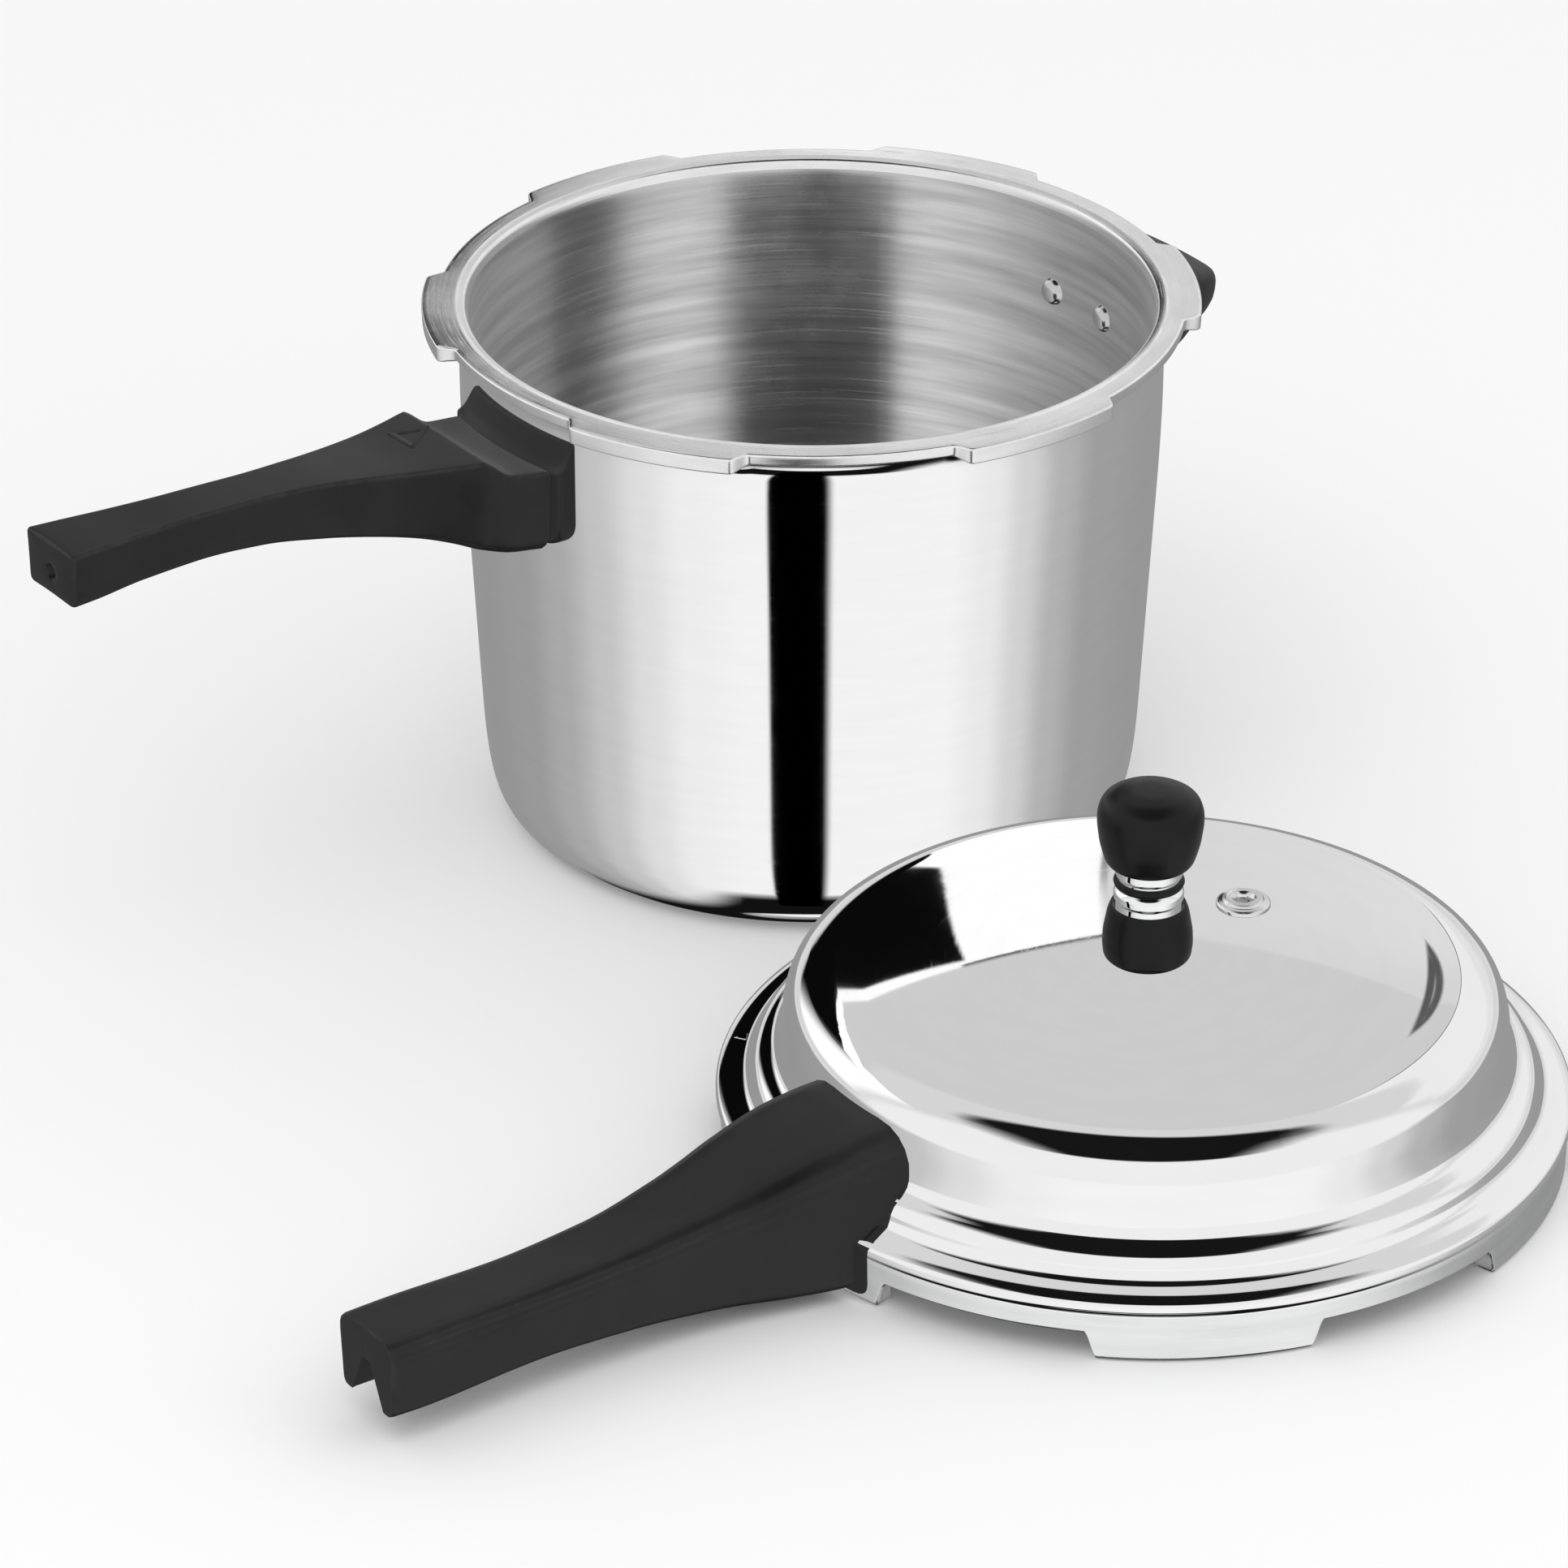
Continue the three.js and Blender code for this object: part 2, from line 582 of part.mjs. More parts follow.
// Vent tube: a headed, bored stud through the middle of the lid.
function ventTube() {
  return turned(
    [
      [VENT_BORE, LID_TOP - 12],
      [VENT_R, LID_TOP - 12],
      [VENT_R, LID_TOP + FIT],
      [VENT_R + 2.2, LID_TOP + FIT],
      [VENT_R + 2.2, LID_TOP + 2],
      [VENT_R, LID_TOP + 2.4],
      [VENT_R - 0.8, LID_TOP + VENT_UP],
      [VENT_BORE + 0.5, LID_TOP + VENT_UP],
      [VENT_BORE, LID_TOP + VENT_UP - 1],
      [VENT_BORE, LID_TOP - 12],
    ],
    18,
  );
}

function ventNut() {
  const top = LID_TOP - LID_T - 1.4;
  return hexagon(NUT_AF, top - NUT_T, top).subtract(rod(VENT_R + 0.3, top - 9, top + 9, 28));
}

function ventWasher() {
  const top = LID_TOP - LID_T - FIT;
  return ring(VENT_R + 0.3, NUT_AF * 0.62, top - 0.8, top);
}

function ring(inner, outer, z0, z1, sides = 28) {
  return turned([[inner, z0], [outer, z0], [outer, z1], [inner, z1], [inner, z0]], sides);
}

// Safety plug: a stepped round body with a soft-metal centre, held by a nut under the lid.
function safetyBody() {
  const seat = LID_TOP + 0.1;
  const shape = turned(
    [
      [2.4, LID_TOP - 11],
      [SAFETY_STEM, LID_TOP - 11],
      [SAFETY_STEM, seat],
      [SAFETY_R, seat],
      [SAFETY_R, seat + 1],
      [SAFETY_R - 0.5, seat + 1.4],
      [SAFETY_R - 2, seat + 1.6],
      [SAFETY_R - 2.5, seat + 2.6],
      [3.4, seat + 2.6],
      [2.4, seat + 1.8],
      [2.4, LID_TOP - 11],
    ],
    24,
  );
  return shape;
}

function safetyWasher() {
  const top = LID_TOP - 3.4;
  return ring(SAFETY_STEM + 0.3, SAFETY_R, top - 1, top);
}

function safetyNut() {
  const top = LID_TOP - 4.8;
  return hexagon(15, top - NUT_T, top).subtract(rod(SAFETY_STEM + 0.3, top - 9, top + 9, 28));
}

function safetyCore() {
  return rod(2.1, LID_TOP - 9, LID_TOP + 1.7, 18);
}

// Weight: a metal core in a black cup, a ring and a knob, standing on the vent.
const WEIGHT_Z = LID_TOP + 0.6; // lower face of the weight, clear of the lid

function weightCore() {
  const z = WEIGHT_Z;
  return turned(
    [
      [VENT_R + 2.7, z + 0.4],
      [NECK_R - 1, z + 0.4],
      [NECK_R, z + 1.6],
      [NECK_R, z + 22.5],
      [NECK_R - 1, z + 22.9],
      [NECK_R - 1, z + 25.9],
      [NECK_R, z + 26.3],
      [NECK_R, z + 29.4],
      [4.4, z + 29.4],
      [4, z + 37],
      [PIN_R + FIT, z + 37],
      [PIN_R + FIT, z + 11],
      [VENT_R + 0.6, z + 10],
      [VENT_R + 0.6, z + 3.4],
      [VENT_R + 2.7, z + 3],
      [VENT_R + 2.7, z + 0.4],
    ],
    24,
  );
}

function weightCup() {
  const z = WEIGHT_Z;
  return turned(
    [
      [NECK_R + FIT, z + 0.6],
      [CUP_R - 2, z],
      [CUP_R - 0.4, z + 1.4],
      [CUP_R, z + 5],
      [CUP_R - 0.2, z + 9],
      [CUP_R - 1.4, z + 15],
      [CUP_R - 2.3, z + 17.6],
      [NECK_R + 0.7, z + 17],
      [NECK_R + FIT, z + 15.6],
      [NECK_R + FIT, z + 0.6],
    ],
    24,
  );
}

function weightRing() {
  const z = WEIGHT_Z + 23;
  return turned(
    [
      [NECK_R - 0.6, z + 0.2],
      [NECK_R + 0.4, z + 0.2],
      [NECK_R + 0.9, z + 1.4],
      [NECK_R + 0.4, z + 2.6],
      [NECK_R - 0.6, z + 2.6],
      [NECK_R - 0.6, z + 0.2],
    ],
    24,
  );
}

function weightKnob() {
  const z = WEIGHT_Z;
  return turned(
    [
      [5, z + 29.8],
      [KNOB_R - 4, z + 29.8],
      [KNOB_R - 2.4, z + 31.4],
      [KNOB_R - 0.8, z + 37],
      [KNOB_R, z + 43],
      [KNOB_R - 0.1, z + 46.6],
      [KNOB_R - 1.4, z + 49.6],
      [KNOB_R - 4.6, z + 51.8],
      [KNOB_R - 9, z + WEIGHT_H - 0.2],
      [0, z + WEIGHT_H],
      [0, z + 37.6],
      [4.6, z + 37.6],
      [5, z + 29.8],
    ],
    24,
  );
}

// Centre pin: it closes the vent from above and the weight turns on it.
function weightPin() {
  const z = WEIGHT_Z;
  return turned(
    [
      [0, z + 4.6],
      [0.9, z + 6.2],
      [1.1, z + 8.4],
      [PIN_R, z + 11.6],
      [PIN_R, z + 36.6],
      [0, z + 36.6],
    ],
    20,
  );
}

const polished = () => material(0xd6d8da, 1, 0.12);
const brushed = () => material(0xb9bcc0, 1, 0.35);
const black = () => material(0x151516, 0, 0.55);
const soft = () => material(0x2b2b2d, 0, 0.8);

const POT_RIVET_SHIFT = (PLATE_T + 0.4 - WALL) / 2; // a rivet sits midway through the two sheets it joins

// The swing rivet is the one whose axis lies square to the way the lid travels.
function rivetAt(spot, shift) {
  const grip = WALL + PLATE_T + 1.6;
  const body = rivet(grip);
  return placed(body.translate([0, 0, shift]), spot);
}

function addPot(group) {
  const spots = rivetSpots();
  group.add(piece("pot_body", potBody(), polished()));
  group.add(piece("pot_handle", potHandle(), black()));
  group.add(piece("pot_handle_collar", potCollar(), black()));
  group.add(piece("pot_bracket", potBracket(), brushed()));
  group.add(piece("pot_handle_screw", screw(SCREW_X, SCREW_SEAT - 2.6, PLATE_MID + 6), brushed()));
  group.add(piece("pot_rivet_right", rivetAt(spots[0], POT_RIVET_SHIFT), brushed()));
  group.add(piece("pot_rivet_left", rivetAt(spots[2], POT_RIVET_SHIFT), brushed()));
  group.add(piece("helper_handle", helperHandle(), black()));
  group.add(piece("helper_bracket", helperBracket(), brushed()));
  group.add(piece("helper_screw", screw(HELPER_SCREW_X, HELPER_LOW + 4.8, PLATE_MID + 8), brushed()));
  group.add(piece("helper_rivet_right", rivetAt(spots[1], POT_RIVET_SHIFT), brushed()));
  group.add(piece("helper_rivet_left", rivetAt(spots[3], POT_RIVET_SHIFT), brushed()));
}

function addLid(group) {
  const spots = lidRivetSpots();
  const [sx, sy] = safetySpot();
  group.add(piece("lid_shell", lidShell(), polished()));
  group.add(piece("lid_gasket", gasket(), soft()));
  group.add(piece("lid_handle", lidHandle(), black()));
  group.add(piece("lid_bracket", lidBracket(), brushed()));
  group.add(piece("lid_handle_screw", screw(LID_SCREW_X, LID_SCREW_SEAT - 2.6, LID_PLATE_MID + 2.1), brushed()));
  group.add(piece("lid_rivet_right", rivetAt(spots[0], 0.4), brushed()));
  group.add(piece("lid_rivet_left", rivetAt(spots[1], 0.4), brushed()));
  group.add(piece("vent_tube", ventTube(), brushed()));
  group.add(piece("vent_nut", ventNut(), brushed()));
  group.add(piece("vent_washer", ventWasher(), soft()));
  group.add(piece("safety_body", safetyBody().translate([sx, sy, 0]), brushed()));
  group.add(piece("safety_washer", safetyWasher().translate([sx, sy, 0]), soft()));
  group.add(piece("safety_nut", safetyNut().translate([sx, sy, 0]), brushed()));
  group.add(piece("safety_core", safetyCore().translate([sx, sy, 0]), brushed()));
  group.add(piece("weight_core", weightCore(), polished()));
  group.add(piece("weight_cup", weightCup(), black()));
  group.add(piece("weight_ring", weightRing(), black()));
  group.add(piece("weight_knob", weightKnob(), black()));
  group.add(piece("weight_pin", weightPin(), brushed()));
}

const cooker = new THREE.Group();
cooker.name = "pressure_cooker";
addPot(cooker);
const lid = new THREE.Group();
lid.name = "lid";
lid.position.set(LID_X, LID_Y, 0);
addLid(lid);
cooker.add(lid);

export default cooker;
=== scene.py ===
"""Stovetop pressure cooker: an open pot with its lid lying beside it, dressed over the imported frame.

Sizes in the classes are millimetres in the part's own frame: the origin is the centre of the pot's base, +Z is up and
the long handle runs along -X. Lid pieces are worked out about the lid's own axis and then moved to where the lid lies.
"""

import logging
import math
from dataclasses import dataclass, field, replace
from enum import Enum

import bpy
import numpy as np
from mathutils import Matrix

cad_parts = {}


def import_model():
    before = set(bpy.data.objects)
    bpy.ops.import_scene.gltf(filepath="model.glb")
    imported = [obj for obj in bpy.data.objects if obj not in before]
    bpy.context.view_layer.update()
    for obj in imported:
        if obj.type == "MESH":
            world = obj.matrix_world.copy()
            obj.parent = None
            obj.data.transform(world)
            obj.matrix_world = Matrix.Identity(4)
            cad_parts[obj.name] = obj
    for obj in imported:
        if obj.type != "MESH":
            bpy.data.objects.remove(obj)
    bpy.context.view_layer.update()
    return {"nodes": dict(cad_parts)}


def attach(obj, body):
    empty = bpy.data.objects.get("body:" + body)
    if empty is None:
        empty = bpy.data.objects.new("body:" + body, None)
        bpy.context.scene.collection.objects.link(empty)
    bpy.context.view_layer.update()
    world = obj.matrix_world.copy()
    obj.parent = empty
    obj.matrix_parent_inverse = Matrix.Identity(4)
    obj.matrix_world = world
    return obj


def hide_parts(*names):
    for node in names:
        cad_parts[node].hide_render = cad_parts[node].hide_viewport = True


Array = np.ndarray
Node = bpy.types.Node
Socket = bpy.types.NodeSocket
Value = float | tuple[float, ...] | Socket
Colour = tuple[float, float, float]

MM = 0.001
LID_AT = (-48.0, -227.0)
PALE = (0.93, 0.93, 0.93, 1)
LOG = logging.getLogger("cooker")


class Body(Enum):
    """The moving bodies of the cooker."""

    POT = "pot"
    SWING = "swing_rivet"
    SEAL = "seal"
    LID = "lid"
    PIN = "weight_pin"
    WEIGHT = "weight"


class Slot(Enum):
    """The finishes the cooker's pieces are made in."""

    POT = "pot_metal"
    LID = "lid_metal"
    HANDLE = "handle_plastic"
    WEIGHT_PLASTIC = "weight_plastic"
    WEIGHT_METAL = "weight_metal"
    BRACKET = "bracket_steel"
    FASTENER = "fastener_steel"
    RIVET = "rivet_metal"
    FITTING = "fitting_metal"
    PLUG = "plug_alloy"
    RUBBER = "gasket_rubber"


# ---------------------------------------------------------------- curves and grids


def filleted(corners: Array, trims: Array | float, steps: int = 5, closed: bool = False) -> Array:
    """Rounds the corners of one or more polylines.

    A corner P whose edges run back along a and on along b becomes P + (1-t)^2 a + t^2 b for t from 0 to 1, where a
    and b point along those edges and are as long as the trim, but never more than 0.48 of the edge.

    Args:
        corners: Points, shaped (..., corners, 2).
        trims: Length cut from each edge at each corner.
        steps: Spans in each rounded corner.
        closed: Whether the last corner joins the first.

    Returns:
        The rounded points, shaped (..., points, 2).
    """
    corners = np.asarray(corners, float)
    cut = np.broadcast_to(np.asarray(trims, float), corners.shape[:-1])[..., None]

    def shortened(edge: Array) -> Array:
        """The edge at the length of its trim."""
        length = np.maximum(np.linalg.norm(edge, axis=-1, keepdims=True), 1e-9)
        return (edge / length * np.minimum(cut, 0.48 * length))[..., None, :]

    t = np.linspace(0.0, 1.0, steps + 1)[:, None]
    back = shortened(np.roll(corners, 1, axis=-2) - corners)
    ahead = shortened(np.roll(corners, -1, axis=-2) - corners)
    curve = corners[..., None, :] + (1 - t) ** 2 * back + t**2 * ahead
    if closed:
        return curve.reshape(*corners.shape[:-2], -1, 2)
    middle = curve[..., 1:-1, :, :].reshape(*corners.shape[:-2], -1, 2)
    return np.concatenate([corners[..., :1, :], middle, corners[..., -1:, :]], axis=-2)


def resampled(paths: Array, spacing: float, closed: bool = False) -> Array:
    """Splits long spans evenly, so that each span of a set of matching paths is at most the spacing long.

    Point k of a span of n parts is A + (B - A) k / n, with n the longest such span over the spacing, rounded up.
    """
    paths = np.concatenate([paths, paths[..., :1, :]], axis=-2) if closed else paths
    spans = np.diff(paths, axis=-2)
    longest = np.linalg.norm(spans, axis=-1).reshape(-1, spans.shape[-2]).max(axis=0)
    counts = np.maximum(1, np.ceil(longest / spacing)).astype(int)
    start = np.repeat(np.arange(len(counts)), counts)
    order = np.arange(len(start)) - np.repeat(np.cumsum(counts) - counts, counts)
    share = (order / np.repeat(counts, counts))[:, None]
    inner = paths[..., start, :] + spans[..., start, :] * share
    return inner if closed else np.concatenate([inner, paths[..., -1:, :]], axis=-2)


def eased_table(table: Array, at: Array) -> Array:
    """Reads a table of sections at new places with a curve that never overshoots.

    Between two rows the value is the cubic whose slopes are the harmonic mean of the neighbouring slopes, and zero
    where they change sign.

    Args:
        table: Rows of (place, values...), with places rising.
        at: Places to read.

    Returns:
        Values shaped (places, values).
    """
    x, y = table[:, 0], table[:, 1:]
    h = np.diff(x)[:, None]
    d = np.diff(y, axis=0) / h
    same = d[:-1] * d[1:] > 0
    mean = np.where(same, 2 * d[:-1] * d[1:] / np.where(same, d[:-1] + d[1:], 1), 0)
    m = np.concatenate([d[:1], mean, d[-1:]])
    k = np.clip(np.searchsorted(x, at, side="right") - 1, 0, len(x) - 2)
    t = ((at - x[k])[:, None] / h[k]).clip(0, 1)
    rise = y[k] * (1 + 2 * t) * (1 - t) ** 2 + y[k + 1] * t**2 * (3 - 2 * t)
    return rise + h[k] * (m[k] * t * (1 - t) ** 2 - m[k + 1] * t**2 * (1 - t))


def stepped(value: Array, low: float, high: float) -> Array:
    """Smooth step 3u^2 - 2u^3 with u the value's share of the way from low to high."""
    u = ((value - low) / (high - low)).clip(0, 1)
    return u * u * (3 - 2 * u)


@dataclass
class Skin:
    """A closed surface as a grid of points in millimetres, shaped (round, along, 3).

    The first axis always closes on itself. The second closes on itself when looped, and otherwise its first and last
    rows are single points. A face looks out along (round direction) x (along direction).
    """

    points: Array
    looped: bool = False
    bands: Array | None = None

    def moved(self, x: float = 0.0, y: float = 0.0, z: float = 0.0) -> "Skin":
        """The skin shifted by a distance."""
        return replace(self, points=self.points + np.array([x, y, z]))

    def laid(self, turn: float, x: float, y: float, z: float) -> "Skin":
        """The skin with its own +Z laid level along a turn, then moved: (a, b, c) becomes (c, b, -a), then turns."""
        a, b, c = np.moveaxis(self.points, 2, 0)
        along, side = math.cos(turn), math.sin(turn)
        laid = np.stack([c * along - b * side, c * side + b * along, -a], axis=2)
        return replace(self, points=laid + np.array([x, y, z]))

    def wear(self) -> Array:
        """Share of each point that lies on a tight outward edge.

        It is the bend of the grid lines through the point, 2 (b/|b| - a/|a|) / (|a| + |b|) for spans a and b, taken
        against the surface's outward direction, and it reaches 1 where the radius is about a millimetre.
        """
        ahead_r = np.roll(self.points, -1, axis=0) - self.points
        back_r = self.points - np.roll(self.points, 1, axis=0)
        ahead_a = np.roll(self.points, -1, axis=1) - self.points
        back_a = self.points - np.roll(self.points, 1, axis=1)
        out = np.cross(ahead_r + back_r, ahead_a + back_a)
        out /= np.maximum(np.linalg.norm(out, axis=2, keepdims=True), 1e-9)

        def bend(back: Array, ahead: Array) -> Array:
            """Outward bend of one family of grid lines."""
            p = np.maximum(np.linalg.norm(back, axis=2, keepdims=True), 1e-6)
            q = np.maximum(np.linalg.norm(ahead, axis=2, keepdims=True), 1e-6)
            return -(2 * (ahead / q - back / p) / (p + q) * out).sum(axis=2)

        found = np.maximum(bend(back_r, ahead_r), bend(back_a, ahead_a))
        if not self.looped:
            found[:, [0, 1, -2, -1]] = 0
        return (found * 0.9).clip(0, 1)

    def parts(self) -> tuple[Array, Array, Array, Array, Array, Array]:
        """Points, wear, four-sided faces, three-sided faces and the band of each of the two sorts of face."""
        m, n = self.points.shape[:2]
        bands = np.zeros(n, int) if self.bands is None else self.bands
        wear = self.wear()
        j = np.arange(m)[:, None]
        if self.looped:
            k = np.arange(n)[None, :]
            a, b = j * n + k, (j + 1) % m * n + k
            c, d = (j + 1) % m * n + (k + 1) % n, j * n + (k + 1) % n
            quads = np.stack([a, b, c, d], axis=2).reshape(-1, 4)
            flat = self.points.reshape(-1, 3)
            return flat, wear.ravel(), quads, np.zeros((0, 3), int), np.tile(bands, m), np.zeros(0, int)
        w = n - 2
        k = np.arange(w - 1)[None, :]
        a, b = j * w + k, (j + 1) % m * w + k
        quads = np.stack([a, b, b + 1, a + 1], axis=2).reshape(-1, 4)
        low, high = m * w, m * w + 1
        j = j[:, 0]
        first = np.stack([np.full(m, low), (j + 1) % m * w, j * w], axis=1)
        last = np.stack([j * w + w - 1, (j + 1) % m * w + w - 1, np.full(m, high)], axis=1)
        flat = np.concatenate([self.points[:, 1:-1].reshape(-1, 3), self.points[:1, 0], self.points[:1, -1]])
        worn = np.concatenate([wear[:, 1:-1].ravel(), [0, 0]])
        tri_bands = np.repeat([bands[0], bands[-2]], m)
        return flat, worn, quads, np.concatenate([first, last]), np.tile(bands[1:-2], m), tri_bands


def turned(profile: Array, columns: int = 96, looped: bool = False, mask: Array | None = None,
           angles: Array | None = None, bands: Array | None = None) -> Skin:
    """Carries a profile of (radius, height) round +Z.

    Point (a, s) is (r cos a, r sin a, z) with (r, z) = P0(s) + mask(a) (P1(s) - P0(s)); with one profile P1 = P0.

    Args:
        profile: Points shaped (points, 2), or two matching profiles shaped (2, points, 2).
        columns: Number of even angles, used when none are given.
        looped: Whether the profile closes on itself.
        mask: Share of the second profile at each angle.
        angles: Angles in radians, rising.
        bands: Finish number of each profile span.

    Returns:
        The turned skin.
    """
    around = np.arange(columns) * 2 * math.pi / columns if angles is None else angles
    pair = profile if profile.ndim == 3 else np.stack([profile, profile])
    share = np.zeros(len(around)) if mask is None else mask
    rz = pair[0] + share[:, None, None] * (pair[1] - pair[0])
    c, s = np.cos(around)[:, None], np.sin(around)[:, None]
    return Skin(np.stack([rz[..., 0] * c, rz[..., 0] * s, rz[..., 1]], axis=2), looped, bands)


def lug_angles(middles: Array, low: float, high: float, fine: float = 0.22) -> Array:
    """Angles in radians, 1.5 degrees apart, and closer where the two ends of each lug lie between low and high."""
    ends = np.arange(low, high, fine)
    near = np.concatenate([np.add.outer(middles, ends).ravel(), np.add.outer(middles, -ends).ravel()])
    coarse = np.arange(0, 360, 1.5)
    gap = np.abs((coarse[:, None] - near[None, :] + 180) % 360 - 180).min(axis=1)
    return np.radians(np.sort(np.concatenate([near % 360, coarse[gap > 0.6]])))


def lug_share(angles: Array, middles: Array, tip: float, root: float) -> Array:
    """1 over each lug, falling in a smooth step to 0 between its tip and root half widths in degrees."""
    off = np.abs((np.degrees(angles)[:, None] - middles[None, :] + 180) % 360 - 180).min(axis=1)
    return 1 - stepped(off, tip, root)


def sections(places: Array, low: Array, high: Array, half_low: Array, half_high: Array, trim_low: Array,
             trim_high: Array, crown: float = 0.0, spacing: float = 1.7) -> Array:
    """Four-cornered rounded sections across the X axis.

    Corners lie at (+-half width, height); the top is lifted by crown (1 - (y / half width)^2).

    Returns:
        Points shaped (round, places, 3).
    """
    y = np.stack([half_high, -half_high, -half_low, half_low], axis=1)
    z = np.stack([high, high, low, low], axis=1)
    trims = np.stack([trim_high, trim_high, trim_low, trim_low], axis=1)
    outline = resampled(filleted(np.stack([y, z], axis=2), trims, 5, closed=True), spacing, closed=True)
    middle = ((low + high) / 2)[:, None]
    lift = crown * (1 - (outline[..., 0] / half_high[:, None]) ** 2).clip(0) * (outline[..., 1] > middle)
    x = np.broadcast_to(places[:, None], outline.shape[:2])
    return np.moveaxis(np.stack([x, outline[..., 0], outline[..., 1] + lift], axis=2), 0, 1)


def capped(points: Array, start: float, end: float, hole: tuple[float, float, float] | None = None) -> Array:
    """Rounds over both ends of a run of sections and closes them.

    At angle f a ring is c + (p - c)(1 - r (1 - cos f) / |p - c|) + r sin f along the axis, for f up to 90 degrees;
    rings drawn in to 0.8 and 0.4 and a point then close the flat end. With a hole, the first end runs in to a ring
    of its radius instead, and on down to its floor.

    Args:
        points: Sections shaped (round, places, 3), which run along +X.
        start: Radius of the first end.
        end: Radius of the last end.
        hole: Height, radius and depth of a hole in the middle of the first end.

    Returns:
        The points with the new rows before and after.
    """

    def rings(ring: Array, way: float, r: float) -> list[Array]:
        """Rows from the rounded edge to the middle of one end."""
        c = ring.mean(axis=0)
        arm = ring - c
        length = np.linalg.norm(arm, axis=1, keepdims=True)
        f = np.linspace(0, math.pi / 2, 6)[1:]
        over = [c + arm * (1 - r * (1 - math.cos(a)) / length) + np.array([way * r * math.sin(a), 0, 0]) for a in f]
        tip = c + np.array([way * r, 0, 0])
        if way < 0 and hole:
            height, radius, depth = hole
            heart = np.array([tip[0], 0, height])
            turn = over[-1] - heart
            turn = turn / np.linalg.norm(turn, axis=1, keepdims=True)
            sizes = [radius + 2.4, radius + 0.7, radius + 0.15, radius, radius, radius * 0.5, 0]
            depths = [0, 0, 0.15, 0.7, depth, depth + 0.6, depth + 0.7]
            return over + [heart + turn * s + np.array([d, 0, 0]) for s, d in zip(sizes, depths)]
        return over + [tip + (over[-1] - tip) * s for s in (0.93, 0.8, 0.4, 0)]

    first = rings(points[:, 0], -1, start)[::-1]
    last = rings(points[:, -1], 1, end)
    return np.concatenate([np.stack(first, axis=1), points, np.stack(last, axis=1)], axis=1)


def made(name: str, skins: list[Skin], finishes: list[bpy.types.Material], sharp: float = 40.0) -> bpy.types.Object:
    """Makes one piece from skins, with its wear as a point value named edge.

    Args:
        name: Name of the piece.
        skins: Closed skins in millimetres.
        finishes: Materials, picked by the skins' bands.
        sharp: Edges that bend by more than this many degrees are drawn sharp.

    Returns:
        The piece, at the origin.
    """
    points, wears, quads, tris, quad_bands, tri_bands, total = [], [], [], [], [], [], 0
    for skin in skins:
        p, w, q, t, qb, tb = skin.parts()
        points.append(p)
        wears.append(w)
        quads.append(q + total)
        tris.append(t + total)
        quad_bands.append(qb)
        tri_bands.append(tb)
        total += len(p)
    mesh = bpy.data.meshes.new(name)
    faces = np.concatenate(quads).tolist() + np.concatenate(tris).tolist()
    mesh.from_pydata(np.concatenate(points) * MM, [], faces)
    for finish in finishes:
        mesh.materials.append(finish)
    mesh.polygons.foreach_set("material_index", np.concatenate(quad_bands + tri_bands).astype(np.int32))
    mesh.attributes.new("edge", "FLOAT", "POINT").data.foreach_set("value", np.concatenate(wears).astype(np.float32))
    mesh.shade_smooth()
    mesh.set_sharp_from_angle(angle=math.radians(sharp))
    mesh.validate()
    mesh.update()
    piece = bpy.data.objects.new(name, mesh)
    bpy.context.scene.collection.objects.link(piece)
    return piece


def fitted(piece: bpy.types.Object, body: Body, slot: Slot, *stands_for: str) -> bpy.types.Object:
    """Puts a piece on its body in place of the nodes it stands for, and logs it.

    Polished metal mirrors the studio's cards and not its neighbours, as it does in a lit packshot tent.
    """
    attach(piece, body.value)
    piece.visible_glossy = False
    if stands_for:
        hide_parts(*stands_for)
    LOG.info("%s: %d points on %s", piece.name, len(piece.data.vertices), body.value)
    return piece


# ---------------------------------------------------------------- finishes


